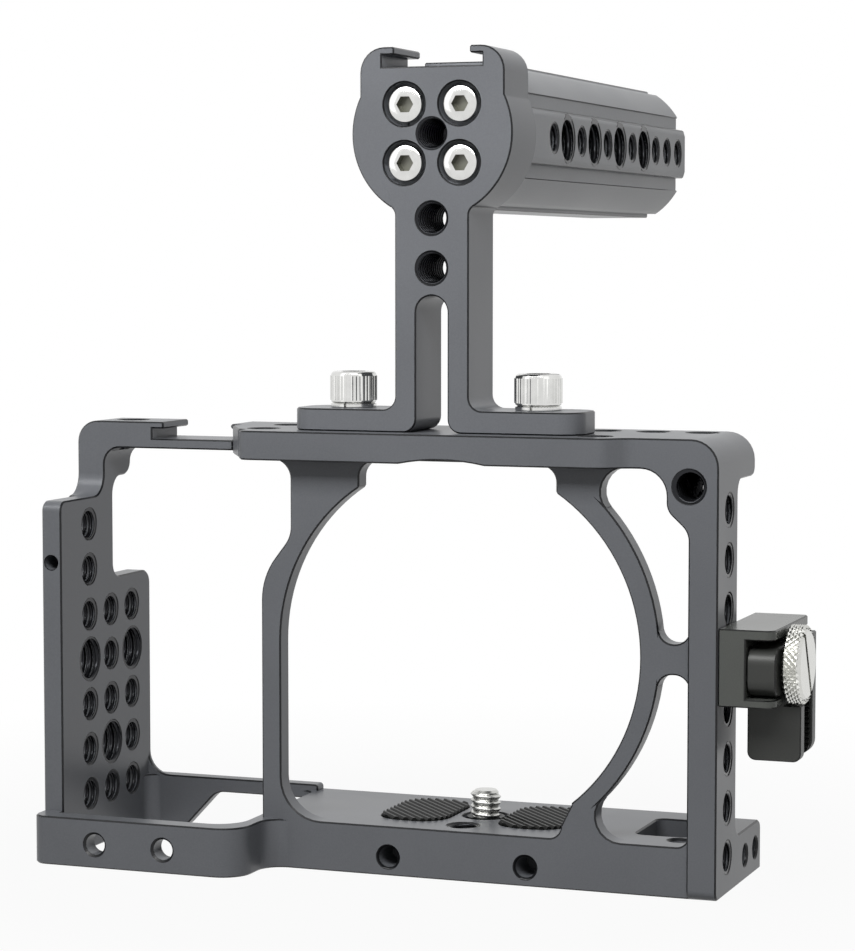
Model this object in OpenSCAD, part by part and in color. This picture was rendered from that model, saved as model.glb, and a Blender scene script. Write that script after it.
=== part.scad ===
// Camera cage: a milled light-alloy frame round a small camera, with a top handle
// and a two-jaw cable clamp. Millimetres.
// +X is to the right seen from the lens side, +Y runs from the lens side to the rear,
// +Z is up. The origin is the middle of the base plate's underside.

/* [Cage frame] */
// Width over the two side plates
cage_w = 141; // [134:0.5:150]
// Height of the frame
cage_h = 89.2; // [87:0.1:94]
// Depth of the base plate
base_d = 35; // [33:0.5:40]
// Thickness of the base plate
base_t = 10; // [9.6:0.1:12]
// Thickness of the front frame
front_t = 4.3; // [3:0.1:4.6]
// Thickness of the top plate
top_t = 5.9; // [5.6:0.1:7]
// Depth of the top plate behind the front plane
top_d = 27; // [26:0.5:30]
// Thickness of the left side plate
left_t = 4.4; // [4:0.1:5.5]
// Thickness of the right side plate
right_t = 5.9; // [5:0.1:7]
// Depth of the right side plate behind the front plane
right_d = 13.5; // [13:0.1:16]

/* [Lens opening] */
// Diameter of the lens opening
lens_d = 75.6; // [70:0.2:77]
// Centre of the lens opening right of the cage's middle
lens_x = 16.9; // [15:0.1:18]
// Centre of the lens opening above the underside
lens_z = 46.4; // [45:0.1:48]
// Width of the ring round the lens opening
ring_w = 4; // [3:0.1:5]
// Height of the strut between the ring and the right side plate
strut_h = 6; // [4:0.1:9]

/* [Camera bay] */
// How far the grip bay's nose stands in front of the front plane
nose_d = 14.2; // [12:0.1:16]
// Thickness of the nose's front bar
nose_t = 4.6; // [4:0.1:6]
// How far the left side plate stands in front of the front plane
left_front = 8.4; // [8:0.1:9.5]
// How far the left side plate's front ends below the frame's top
left_drop = 15.2; // [14.2:0.1:17.2]
// How far the left side plate's rear ends below the frame's top
left_rear_drop = 33; // [30:0.1:34]

/* [Threaded holes] */
// Bore of a quarter-inch threaded hole, at the middle of its thread
quarter_d = 6.1; // [5.6:0.05:6.3]
// Bore of a three-eighths-inch threaded hole, at the middle of its thread
three_eighths_d = 9.2; // [8.6:0.05:9.4]
// Vertical spacing of the left side plate's holes
left_pitch_z = 9.47; // [9.3:0.01:9.6]
// Spacing along the depth of the left side plate's holes
left_pitch_y = 9.8; // [9.6:0.05:10]
// Spacing of the right side plate's holes
right_pitch = 9.7; // [9.4:0.05:9.9]
// Spacing of the row of holes in the top plate
top_pitch = 10.1; // [9.6:0.05:10.1]

/* [Cold shoe] */
// Width of an accessory foot's slot
shoe_w = 18.5; // [18.3:0.05:18.8]
// Height of an accessory foot's slot
shoe_h = 2.1; // [2:0.05:2.4]
// How far a shoe's lip reaches over its slot
shoe_lip = 2.6; // [2:0.1:3.2]

/* [Handle] */
// Length of the grip
grip_l = 112.5; // [90:0.5:140]
// Diameter of the grip
grip_d = 33.2; // [31:0.1:36]
// Bore of the grip's tube
grip_tube_d = 22; // [18:0.1:24]
// Height of the grip's axis above the top plate
grip_z = 58.9; // [56:0.1:66]
// Depth of the stand
stand_d = 14.8; // [14:0.1:16]
// Width of the stand's foot
foot_w = 61; // [58:0.5:66]
// Thickness of the stand's foot
foot_t = 4.5; // [3.5:0.1:5.5]
// Width of the stand's column
column_w = 15.5; // [14:0.1:18]
// Width of the slot up the column
slot_w = 6.6; // [5:0.1:7]
// Spacing of the holes along the grip
grip_pitch = 9.25; // [9:0.05:9.6]
// Spacing of the two bolts in the foot
bolt_pitch = 39.3; // [38:0.1:42]
// Spacing of the four screws in the stand's head
head_screw_pitch = 11.5; // [11.2:0.1:12.4]

/* [Camera screw] */
// Outer diameter of the camera screw's thread
camera_screw_d = 6.35; // [6.2:0.01:6.4]
// Height of the camera screw above the base plate
camera_screw_h = 5.4; // [4:0.1:6.5]
// Width of a rubber pad
pad_w = 14.2; // [12:0.1:16]
// Length of a rubber pad
pad_l = 22; // [18:0.1:25]
// Thickness of a rubber pad
pad_t = 1.6; // [1.2:0.1:2]

/* [Cable clamp] */
// Width of the clamp's bracket across the side plate
bracket_w = 11; // [10.5:0.1:12]
// Height of the clamp's bracket
bracket_h = 15; // [14.5:0.1:17]
// Length of the clamp's bracket along the depth
bracket_l = 28.2; // [26:0.1:31]
// Thickness of the clamp's web against the side plate
web_t = 5.3; // [5.1:0.1:6]
// Thickness of a clamp jaw
jaw_t = 3; // [2.6:0.1:3.4]
// Height of the jaws' gripping faces below the bracket
jaw_h = 11.3; // [9:0.1:14]
// Open gap between the pads
jaw_gap = 4.8; // [4.4:0.1:5.2]
// Diameter of the knob
knob_d = 14.8; // [13:0.1:14.8]
// Thickness of the knob
knob_t = 3.6; // [3:0.1:5]
// Diameter of the clamp screw
clamp_screw_d = 4; // [3.6:0.05:4.2]

/* [Hidden] */
$fn = 64;
arc_steps = 8;
ring_steps = 120;

// Colours of the photographed finishes
alloy = "#62646a";
alloy_dark = "#4b4d4a";
steel = "#c4c5c4";
rubber = "#232423";

// Overrun of every cut
over = 1;
// Gap between faces that slide or turn on each other
slip = 0.05;
// Gap round a fixed screw in its hole
screw_gap = 0.1;

// Main planes
x_left = -cage_w / 2;
x_right = cage_w / 2;
in_left = x_left + left_t;
left_h = cage_h - left_drop;
left_rear_h = cage_h - left_rear_drop;
in_right = x_right - right_t;
front_y = -base_d / 2;
rear_y = base_d / 2;
top_z = cage_h - top_t;
top_rear_y = front_y + top_d;

// Lens ring, pillar and windows of the front frame
lens_r = lens_d / 2;
ring_lift = 0.8;
ring_c = [lens_x, lens_z + ring_lift];
ring_r = lens_r + ring_w;
pillar_w = 4.2;
pillar_x = lens_x - lens_r - pillar_w;
pillar_step = 6.4;
pillar_top_x = pillar_x + pillar_step;
shoulder_z = 63.5;
shoulder_rise = 8.3;
shoulder_low_r = 14;
shoulder_high_r = 6;
pillar_flare_r = 4;
crown_w = 41.3;
crown_r = 3.2;
toe_left_r = 8.5;
leg_in = 21.9;
leg_in_r = 2.6;
leg_knee = 6.8;
leg_flare = 2.1;
strut_z = 46.5;
strut_r = 3;
window_top_r = 4.8;
window_low_r = 5;
window_heel_r = 2.5;

// Base plate
bay_gap = 1.7;
bay_right = pillar_x - bay_gap;
bay_rear = 3.5;
bay_front_r = 6;
bay_inner_r = 3;
nose_over = 1.3;
nose_right = pillar_x + nose_over;
nose_left_r = 3;
nose_right_r = 6;
nose_cove_r = 4.5;
bar_rise = 1.3;
bar_h = base_t + bar_rise;
bar_end = 0.8;
arch_foot_w = 8.6;
arch_ramp_w = 7.7;
arch_h = 8.25;
arch_low_r = 3;
arch_high_r = 4;
wall_rear_in = 2.2;
wall_rear_y = rear_y - wall_rear_in;
bar_fillet_r = 5;
rear_corner_r = 3;
nose_hole_d = 4.2;
nose_hole_z = 4.8;
nose_hole_x = -48.5;
nose_hole_pitch = 15.2;
face_hole_d = 4.2;
face_hole_z = 3.8;
face_hole_pitch = 29;
face_hole_depth = 8;
camera_y = 18;
tripod_x = 16.1;
tripod_y = 6.6;
slot_x0 = 50.8;
slot_x1 = 62;
slot_y0 = 10;
slot_y1 = 27.5;
slot_r = 2;
vent_x = 60.8;
vent_y = 7;
vent_d = 4;

// Camera screw: recess and clip above the web, head in a counterbore under it
recess_d = 9.4;
recess_depth = 4;
head_bore_d = 13.4;
head_bore_h = 4.5;
screw_head_d = 12.5;
screw_head_t = 2.1;
screw_play = 0.075;
clip_d = 7.7;
clip_t = 0.8;
clip_groove_d = 5.4;
clip_down = 0.05;
head_slot_w = 1.6;
head_slot_depth = 1;
tip_chamfer = 0.7;
pad_pitch = 25.4;
pad_x = 16.3;
pad_y = 18.5;
pad_r = 5.5;
pad_sink = 1;

// Left side plate, arm and cold shoe
left_front_r = 2;
ledge_r = 4.5;
arm_front = 11.3;
arm_rear = 23.8;
arm_rise = 0.4;
arm_top = cage_h + arm_rise;
arm_t = 5.6;
arm_low = arm_top - arm_t;
arm_bulge = 1.8;
arm_outer_r = 4.5;
arm_inner_r = 3.5;
arm_toe = 1.5;
arm_hole_x = 8.1;
arm_hole_y = 6.7;
shoe_x = -45.65;
shoe_left = shoe_x - shoe_w / 2;
shoe_right = shoe_x + shoe_w / 2;
shoe_floor_t = 2.1;
shoe_floor = arm_low + shoe_floor_t;
shoe_lip_low = shoe_floor + shoe_h;
lobe_h = 6.4;
lobe_low = arm_low - lobe_h;
lobe_r = 3;
lobe_cove_r = 4;
neck_y = 15.3;
left_rear_r = 3;
left_hole_y = 4.2;
left_hole_z = 11.6;
left_small_holes = [[0, 1, 2, 4, 5, 6], [0, 2, 3, 4], [0, 1, 2, 4]];
left_big_holes = [3, 1, 3];
wall_screw_d = 3;
wall_screw_x = 2.1;
wall_screw_z = 61.4;
wall_screw_depth = 7;

// Top plate
lip_d = 5;
lip_left = -28.5;
lip_left_r = 2.5;
cove_y = 0.4;
cove_r = 1.5;
heel_x = -30.6;
heel_y = 1.2;
heel_r = 2;
shoe_heel_r = 2;
lip_step_x0 = 48.2;
lip_step_x1 = 52.6;
lip_step_r = 4;
right_proud = 1.3;
corner_r = 5.5;
lip_arch_x = 15.4;
lip_arch_w = 18;
lip_arch_h = 0.9;
shoe_lip_y = 15;
shoe_lip_r = 1.5;
top_row_x = 51.3;
top_row_y = 20.5;
top_left_x = -26.3;
top_left_y = 11.2;
top_left_pitch = 13.6;
top_front_x = 45;
top_front_y = 2;

// Right side plate and its corner block
toe_r = 2;
foot_l = 33.8;
foot_h = 10.2;
foot_rear_r = 2;
foot_cove_r = 3;
ear_h = 2.7;
ear_low_r = 2;
ear_cove_r = 3;
block_d = 8;
block_w = 4.4;
block_r = 5.2;
block_drop = 7.9;
block_toe = 12;
drill_run = 6;
drill_play = 1.2;
block_nose_r = 3.5;
block_toe_r = 4;
corner_hole_drop = 3.2;
corner_hole_x = 0.1;
right_hole_y = 7.3;
right_hole_z = 7.3;
right_holes = 8;
foot_hole_d = 4;
foot_hole_y = 21.4;
foot_hole_pitch = 8.1;
foot_hole_z = 5;
foot_hole_depth = 4;

// Handle stand
stand_x = 11.7;
foot_r = 5;
foot_cove = 2.7;
foot_top = cage_h + foot_t;
bolt_y = 7.8;
slot_h = 27.1;
slot_flare_r = 2.8;
head_r = 16.8;
head_neck_r = 2;
head_block_w = 30.2;
head_block_h = 17;
head_block_r = 5;
head_z = cage_h + grip_z;
head_top = head_z + head_block_h;
head_shoe_w = 21;
head_lip_t = 1.5;
head_shoe_h = 2.4;
column_hole_low = 32.5;
column_hole_pitch = 9.8;
// Where the stand's foot ends and its head starts
foot_seam = foot_top + foot_cove;
head_seam = cage_h + (slot_h + column_hole_low - quarter_d / 2) / 2;
shank_hole_d = 6.6;
bolt_shank_d = 6;
bolt_head_d = 9.525;
bolt_head_h = 6.35;
bolt_hex = 4.76;
bolt_hex_depth = 3;
washer_d = 9.3;
washer_t = 0.9;
bolt_end = 0.5;
m4_shank_d = 3.9;
m4_clear_d = 4.4;
m4_tap_d = 4;
m4_head_d = 7;
m4_head_t = 2.6;
m4_hex = 3;
m4_hex_depth = 1.6;
m4_bore_d = 8.6;
m4_bore_depth = 3;
m4_reach = 8;
m4_tap_depth = 9;

// Grip
grip_web = 10.6;
grip_bore_d = 11;
grip_side = 16.1;
grip_side_h = 5.6;
grip_groove_h = 8.4;
grip_groove_x = 13.9;
grip_top = 14.8;
grip_rail_w = 14;
grip_step = 13.9;
grip_first = 13.7;
grip_small_holes = [0, 2, 4, 6, 8, 9, 10];
grip_big_holes = [1, 3, 5, 7];

// Cable clamp
holes_below_clamp = 4;
clamp_z = right_hole_z + holes_below_clamp * right_pitch;
bracket_drop = 8.1;
bracket_z0 = clamp_z - bracket_drop;
bracket_z1 = bracket_z0 + bracket_h;
bracket_front = 0.7;
bracket_y0 = front_y - bracket_front;
bracket_y1 = bracket_y0 + bracket_l;
bracket_r = 2;
bracket_x1 = x_right + bracket_w;
web_x1 = x_right + web_t;
arm_roof_t = 2;
sill_t = 1.6;
sill_l = 6.7;
sill_r = 2.5;
knob_in = 9;
knob_y = front_y + knob_in;
knob_drop = 0.5;
knob_z = clamp_z - knob_drop;
boss_in = 0.5;
boss_tail = 4.3;
boss_up = 0.4;
boss_sunk = 1.6;
boss_front = bracket_y0 + boss_in;
boss_rear = knob_y + boss_tail;
boss_low = bracket_z0 + sill_t + boss_up;
boss_top = bracket_z1 - arm_roof_t - boss_sunk;
boss_r = 3.2;
boss_play = 0.15;
boss_end = 0.1;
boss_x0 = web_x1 + boss_play;
boss_x1 = bracket_x1 + boss_end;
jaw_set = 1.8;
jaw_front_y = knob_y - jaw_set;
jaw_in = 3.8;
jaw_out = 3.4;
jaw_drop = 0.3;
jaw_x0 = x_right + jaw_in;
jaw_x1 = bracket_x1 + jaw_out;
jaw_top = bracket_z0 - jaw_drop;
jaw_low = bracket_z0 - jaw_h;
jaw_r = 1.6;
jaw_travel_in = 1.5;
jaw_travel_out = 1;
slide_slot_gap = 0.3;
front_pad_t = 0.8;
rear_pad_t = 0.9;
pad_edge = 0.5;
pad_y0 = jaw_front_y + jaw_t;
rear_pad_y = pad_y0 + front_pad_t + jaw_gap;
rear_jaw_y = rear_pad_y + rear_pad_t;
rear_jaw_r = 3;
washer_out_d = 7.2;
washer_in_d = 4.4;
clamp_washer_t = 0.5;
washer_x0 = boss_x1 + slip;
washer_x1 = washer_x0 + clamp_washer_t;
knob_x0 = washer_x1 + slip;
knob_x1 = knob_x0 + knob_t;
knob_chamfer = 0.6;
knob_slot_w = 1.2;
knob_slot_depth = 1;
knob_slot_turn = 25;
screw_seat = 2.4;
screw_tip_gap = 0.2;
screw_running = 0.07;
mount_depth = 2.3;
mount_inset = 0.4;
mount_tip_gap = 0.2;
mount_hex = 3.97;
mount_hex_depth = 3;
pin_d = 2.5;
pin_y = 4;
pin_drop = 3.8;
pin_depth = 2.2;
pin_gap = 0.05;

function unit(v) = v / norm(v);

// Points of an arc about c
function arc(c, r, a0, a1, n) =
    [for (i = [0 : n]) c + r * [cos(a0 + (a1 - a0) * i / n), sin(a0 + (a1 - a0) * i / n)]];

// The rounding of corner p between its neighbours a and b
function corner_arc(a, p, b, r) =
    let (u = unit(a - p), w = unit(b - p), half = acos(u * w) / 2,
        s = p + u * r / tan(half), e = p + w * r / tan(half),
        c = p + unit(u + w) * r / sin(half),
        t0 = atan2(s.y - c.y, s.x - c.x), t1 = atan2(e.y - c.y, e.x - c.x),
        d = t1 - t0, dd = d > 180 ? d - 360 : d < -180 ? d + 360 : d)
    arc(c, r, t0, t0 + dd, arc_steps);

// An outline from corners [x, y, radius]
function outline(k) = [for (i = [0 : len(k) - 1])
    let (p = k[i], a = k[(i + len(k) - 1) % len(k)], b = k[(i + 1) % len(k)])
    each (p[2] > 0 ? corner_arc([a.x, a.y], [p.x, p.y], [b.x, b.y], p[2]) : [[p.x, p.y]])];

// A rectangle of width w and depth d about c, with corner radius r
function rounded_box(c, w, d, r) = outline([[c.x - w / 2, c.y - d / 2, r],
    [c.x + w / 2, c.y - d / 2, r], [c.x + w / 2, c.y + d / 2, r], [c.x - w / 2, c.y + d / 2, r]]);

// Concave arc that blends corner p into the quadrant (sx, sy)
function cove_arc(p, sx, sy, r) = [for (i = [0 : arc_steps])
    p + [sx * r * (1 - cos(90 * i / arc_steps)), sy * r * (1 - sin(90 * i / arc_steps))]];

// The piece between corner p and its arc, reaching behind p by bx and by
function cove(p, sx, sy, r, bx = 0, by = 0) = concat([[p.x - sx * bx, p.y - sy * by],
    [p.x - sx * bx, p.y + sy * r]], cove_arc(p, sx, sy, r), [[p.x + sx * r, p.y - sy * by]]);

// The web that blends the ring into a level edge at height h, below (s = 1) or above it
function ring_web(h, r, s) =
    let (f = [ring_c.x + sqrt(pow(ring_r + r, 2) - pow(h + s * r - ring_c.y, 2)), h + s * r],
        phi = atan2(f.y - ring_c.y, f.x - ring_c.x),
        k = ring_c.x + sqrt(max(0, pow(ring_r, 2) - pow(h - ring_c.y, 2))))
    concat(arc(f, r, phi + 180, s > 0 ? 270 : 90, arc_steps),
        [[f.x, h - s * over], [k - over, h - s * over], [k - over, h]]);

// A plan in X and Z, extruded along Y from y0 to y1
module along_y(y0, y1) {
    translate([0, y1, 0]) rotate([90, 0, 0]) linear_extrude(y1 - y0) children();
}

// A plan in Y and Z, extruded along X from x0 to x1
module along_x(x0, x1) {
    translate([x0, 0, 0]) rotate([90, 0, 90]) linear_extrude(x1 - x0) children();
}

// A round bar or bore from a to b along one axis, through the point given by the other two
module rod_x(a, b, y, z, d) {
    translate([a, y, z]) rotate([0, 90, 0]) cylinder(d = d, h = b - a);
}

module rod_y(a, b, x, z, d) {
    translate([x, a, z]) rotate([-90, 0, 0]) cylinder(d = d, h = b - a);
}

module rod_z(a, b, x, y, d) {
    translate([x, y, a]) cylinder(d = d, h = b - a);
}

// Key socket with the given width across its flats, from a to b along Z
module hex_z(a, b, x, y, flats) {
    translate([x, y, a]) rotate([0, 0, 30]) cylinder(d = flats / cos(30), h = b - a, $fn = 6);
}

base_plan = [[x_left, front_y - left_front, 0],
    [x_left, front_y - nose_d, nose_left_r],
    [nose_right, front_y - nose_d, nose_right_r],
    [nose_right, front_y, nose_cove_r],
    [in_right, front_y, 0],
    [in_right, rear_y, 0],
    [bay_right, rear_y, 0],
    [bay_right, front_y - nose_d + nose_t, bay_front_r],
    [in_left, front_y - nose_d + nose_t, 0],
    [in_left, front_y - left_front, 0]];

bar_face = [[in_left, 0, 0],
    [in_left + arch_foot_w, 0, arch_low_r],
    [in_left + arch_foot_w + arch_ramp_w, arch_h, arch_high_r],
    [bay_right + bar_end, arch_h, 0],
    [bay_right + bar_end, bar_h, bar_end],
    [in_left, bar_h, 0]];

bar_y = rear_y - bay_rear;
camera_c = [lens_x, front_y + camera_y];
pad_left_c = [pad_x - pad_pitch / 2, front_y + pad_y];
pad_right_c = [pad_x + pad_pitch / 2, front_y + pad_y];

// Thin arched bar across the rear of the grip bay, with its coves
module rear_bar() {
    along_y(bar_y, rear_y) polygon(outline(bar_face));
    linear_extrude(bar_h)
        polygon(outline([[x_left, wall_rear_y, 0], [x_left, rear_y, rear_corner_r / 2],
            [in_left + over, rear_y, 0], [in_left + over, wall_rear_y, 0]]));
    along_y(bar_y, wall_rear_y) polygon(cove([in_left, bar_h], 1, 1, bar_fillet_r, 0, over));
    linear_extrude(bar_h) polygon(cove([in_left, bar_y], 1, -1, bay_inner_r, 0, over));
    translate([0, 0, arch_h]) linear_extrude(base_t - arch_h)
        polygon(cove([bay_right, bar_y], -1, -1, bay_inner_r, over, over));
}

module pad_shape(c, grow) {
    polygon(rounded_box(c, pad_w + 2 * grow, pad_l + 2 * grow, pad_r + grow));
}

module base_plate() {
    color(alloy) difference() {
        union() {
            linear_extrude(base_t) polygon(outline(base_plan));
            rear_bar();
        }
        // camera screw: clip recess, running bore and head counterbore
        rod_z(base_t - recess_depth, base_t + over, camera_c.x, camera_c.y, recess_d);
        rod_z(-over, base_t + over, camera_c.x, camera_c.y, camera_screw_d + 2 * screw_play);
        rod_z(-over, head_bore_h, camera_c.x, camera_c.y, head_bore_d);
        rod_z(-over, base_t + over, tripod_x, front_y + tripod_y, quarter_d);
        // shallow seats of the rubber pads
        for (c = [pad_left_c, pad_right_c])
            translate([0, 0, base_t - pad_sink]) linear_extrude(pad_sink + over)
                pad_shape(c, slip);
        translate([0, 0, -over]) linear_extrude(base_t + 2 * over)
            polygon(outline([[slot_x0, front_y + slot_y0, slot_r],
                [slot_x1, front_y + slot_y0, slot_r], [slot_x1, front_y + slot_y1, slot_r],
                [slot_x0, front_y + slot_y1, slot_r]]));
        rod_z(-over, base_t + over, vent_x, front_y + vent_y, vent_d);
        for (s = [-1, 1])
            rod_y(front_y - nose_d - over, front_y - nose_d + nose_t + over,
                nose_hole_x + s * nose_hole_pitch / 2, nose_hole_z, nose_hole_d);
        for (s = [-1, 1])
            rod_y(front_y - over, front_y + face_hole_depth,
                lens_x + s * face_hole_pitch / 2, face_hole_z, face_hole_d);
    }
}

left_face = [[front_y - left_front, 0, 0],
    [front_y - left_front, left_h, left_front_r],
    [front_y + arm_front, left_h, ledge_r],
    [front_y + arm_front, shoe_floor, 0],
    [front_y + arm_rear, shoe_floor, 0],
    [front_y + arm_rear, lobe_low, lobe_r],
    [front_y + neck_y, lobe_low, lobe_cove_r],
    [front_y + neck_y, left_rear_h, left_rear_r],
    [wall_rear_y, left_rear_h, left_rear_r],
    [wall_rear_y, 0, 0]];

arm_face = [[in_left, arm_low - arm_inner_r, 0],
    [in_left, arm_low, arm_inner_r],
    [shoe_right, arm_low, 0],
    [shoe_right, shoe_floor, 0],
    [shoe_left, shoe_floor, 0],
    [shoe_left, shoe_lip_low, 0],
    [shoe_left + shoe_lip, shoe_lip_low, 0],
    [shoe_left + shoe_lip, arm_top, 0],
    [x_left - arm_bulge, arm_top, arm_outer_r],
    [x_left - arm_bulge, arm_low - arm_inner_r, 0]];

module left_side_plate() {
    color(alloy) difference() {
        union() {
            along_x(x_left, in_left) polygon(outline(left_face));
            along_y(front_y + arm_front, front_y + arm_rear) polygon(outline(arm_face));
            // the arm's outer layer runs down the plate's curved front to its ledge
            along_x(x_left - arm_bulge, x_left + over) intersection() {
                polygon(outline(left_face));
                translate([front_y + arm_front - ledge_r, left_h - arm_toe])
                    square([arm_rear - arm_front + ledge_r,
                        arm_low - arm_inner_r - left_h + arm_toe + over]);
            }
        }
        for (c = [0 : len(left_small_holes) - 1], r = left_small_holes[c])
            rod_x(x_left - over, in_left + over, front_y + left_hole_y + c * left_pitch_y,
                left_hole_z + r * left_pitch_z, quarter_d);
        for (c = [0 : len(left_big_holes) - 1])
            rod_x(x_left - over, in_left + over, front_y + left_hole_y + c * left_pitch_y,
                left_hole_z + left_big_holes[c] * left_pitch_z, three_eighths_d);
        rod_z(arm_low - over, arm_top + over, x_left + arm_hole_x,
            front_y + arm_front + arm_hole_y, quarter_d);
        rod_y(front_y - left_front - over, front_y - left_front + wall_screw_depth,
            x_left + wall_screw_x, wall_screw_z, wall_screw_d);
    }
}

top_plan = [[lip_left, front_y - lip_d, lip_left_r],
    [lip_left, front_y + cove_y, cove_r],
    [heel_x, front_y + heel_y, heel_r],
    [shoe_right, front_y + arm_front, shoe_heel_r],
    [shoe_right, top_rear_y, 0],
    [x_right, top_rear_y, 0],
    [x_right, front_y - right_proud, 0],
    [lip_step_x1, front_y - right_proud, lip_step_r],
    [lip_step_x0, front_y - lip_d, lip_step_r]];

lip_arch_r = (pow(lip_arch_w / 2, 2) + pow(lip_arch_h, 2)) / (2 * lip_arch_h);
lip_arch_a = asin(lip_arch_w / 2 / lip_arch_r);

module top_plate() {
    color(alloy) difference() {
        union() {
            translate([0, 0, top_z]) linear_extrude(top_t) polygon(outline(top_plan));
            translate([0, 0, shoe_lip_low]) linear_extrude(cage_h - shoe_lip_low)
                polygon(outline([[shoe_right + over, front_y + shoe_lip_y, 0],
                    [shoe_right - shoe_lip, front_y + shoe_lip_y, shoe_lip_r],
                    [shoe_right - shoe_lip, top_rear_y, 0], [shoe_right + over, top_rear_y, 0]]));
        }
        along_y(front_y - lip_d - over, top_rear_y + over)
            polygon(cove([x_right, cage_h], -1, -1, corner_r, over, over));
        along_y(front_y - lip_d - over, front_y + front_t)
            polygon(concat(arc([lip_arch_x, top_z + lip_arch_h - lip_arch_r], lip_arch_r,
                90 - lip_arch_a, 90 + lip_arch_a, arc_steps),
                [[lip_arch_x - lip_arch_w / 2, top_z - over],
                [lip_arch_x + lip_arch_w / 2, top_z - over]]));
        for (i = [-1, 0, 1])
            rod_z(top_z - over, cage_h + over, top_row_x + i * top_pitch,
                front_y + top_row_y, quarter_d);
        for (s = [-1, 1])
            rod_z(top_z - over, cage_h + over, top_left_x,
                front_y + top_left_y + s * top_left_pitch / 2, quarter_d);
        rod_z(top_z - over, cage_h + over, top_front_x, front_y + top_front_y, quarter_d);
        for (s = [-1, 1])
            rod_z(top_z - over, cage_h + over, stand_x + s * bolt_pitch / 2,
                front_y + bolt_y, bolt_shank_d + screw_gap);
    }
}

right_face = [[front_y - right_proud, 0, toe_r],
    [front_y + foot_l, 0, 0],
    [front_y + foot_l, foot_h, foot_rear_r],
    [front_y + right_d, foot_h, foot_cove_r],
    [front_y + right_d, top_z - ear_h, ear_cove_r],
    [top_rear_y, top_z - ear_h, ear_low_r],
    [top_rear_y, top_z, 0],
    [front_y - right_proud, top_z, 0]];

block_x = in_right - block_w;
block_face = [[in_right + over, top_z, 0],
    [block_x, top_z, 0],
    [block_x, top_z - block_drop, block_nose_r],
    [in_right, top_z - block_toe, block_toe_r],
    [in_right, top_z - block_toe - block_toe_r, 0],
    [in_right + over, top_z - block_toe - block_toe_r, 0]];

module right_side_plate() {
    color(alloy) difference() {
        union() {
            along_x(in_right, x_right) polygon(outline(right_face));
            along_y(front_y - right_proud, front_y - right_proud + block_d) {
                polygon(outline(block_face));
                polygon(cove([block_x, top_z], -1, -1, block_r, over, 0));
            }
            along_y(front_y, front_y + front_t)
                polygon(cove([in_right, base_t], -1, 1, window_heel_r, over, 0));
        }
        for (i = [0 : right_holes - 1])
            rod_x(in_right - over, x_right + over, front_y + right_hole_y,
                right_hole_z + i * right_pitch, quarter_d);
        rod_y(front_y - right_proud - over, front_y - right_proud + block_d + over,
            in_right + corner_hole_x, top_z - corner_hole_drop, quarter_d);
        // the drill's run-out in the plate behind the block
        rod_y(front_y - right_proud + block_d, front_y - right_proud + block_d + drill_run,
            in_right + corner_hole_x, top_z - corner_hole_drop, quarter_d + drill_play);
        for (i = [0, 1])
            rod_x(x_right - foot_hole_depth, x_right + over,
                front_y + foot_hole_y + i * foot_hole_pitch, foot_hole_z, foot_hole_d);
        rod_x(x_right - pin_depth, x_right + over, front_y + right_hole_y + pin_y,
            clamp_z - pin_drop, pin_d + 2 * pin_gap);
    }
}

pillar_face = [[lens_x, base_t, 0],
    [lens_x, top_z, 0],
    [pillar_top_x, top_z, 0],
    [pillar_top_x, shoulder_z + shoulder_rise / 2, shoulder_high_r],
    [pillar_x, shoulder_z - shoulder_rise / 2, shoulder_low_r],
    [pillar_x, base_t, 0]];

// Round lens opening, squared at its crown and at its lower left
module lens_opening() {
    polygon(arc([lens_x, lens_z], lens_r, 0, 360 - 360 / ring_steps, ring_steps - 1));
    difference() {
        translate([lens_x - crown_w / 2, lens_z]) square([crown_w, top_z - lens_z + over]);
        for (s = [-1, 1])
            polygon(cove([lens_x + s * crown_w / 2, top_z], -s, -1, crown_r, over, 2 * over));
    }
    difference() {
        polygon([[lens_x - lens_r, lens_z], [lens_x - lens_r, base_t - over],
            [lens_x + leg_in, base_t - over], [lens_x + leg_in, base_t + leg_in_r],
            [lens_x + leg_in + leg_flare, base_t + leg_knee], [lens_x, lens_z]]);
        polygon(cove([lens_x - lens_r, base_t], 1, 1, toe_left_r, over, 2 * over));
        polygon(cove([lens_x + leg_in, base_t], -1, 1, leg_in_r, 0, 2 * over));
    }
}

// Window between the ring and the right side plate, from z0 to z1
module side_window(z0, z1, r0, r1, c0, c1) {
    difference() {
        translate([lens_x, z0 - c0]) square([in_right - lens_x + over, z1 + c1 - z0 + c0]);
        polygon(arc(ring_c, ring_r, 0, 360 - 360 / ring_steps, ring_steps - 1));
        polygon(ring_web(z0, r0, 1));
        polygon(ring_web(z1, r1, -1));
        children();
    }
}

module front_pillar() {
    color(alloy) difference() {
        union() {
            along_y(front_y, front_y + front_t) polygon(outline(pillar_face));
            along_y(front_y, front_y + front_t)
                polygon(cove([pillar_top_x, top_z], -1, -1, pillar_flare_r, over, 0));
        }
        along_y(front_y - over, front_y + front_t + over) lens_opening();
    }
}

module lens_ring() {
    color(alloy) along_y(front_y, front_y + front_t) difference() {
        translate([lens_x, base_t]) square([in_right - lens_x, top_z - base_t]);
        lens_opening();
        side_window(strut_z + strut_h / 2, top_z, strut_r, window_top_r, 0, over)
            polygon(cove([in_right, strut_z + strut_h / 2], -1, 1, strut_r, 2 * over, over));
        side_window(base_t, strut_z - strut_h / 2, window_low_r, strut_r, over, 0)
            polygon(cove([in_right, strut_z - strut_h / 2], -1, -1, strut_r, 2 * over, over));
    }
}

clip_z1 = base_t - clip_down;
clip_z0 = clip_z1 - clip_t;
screw_tip = base_t + camera_screw_h;
screw_head_z = head_bore_h - screw_head_t;

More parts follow.
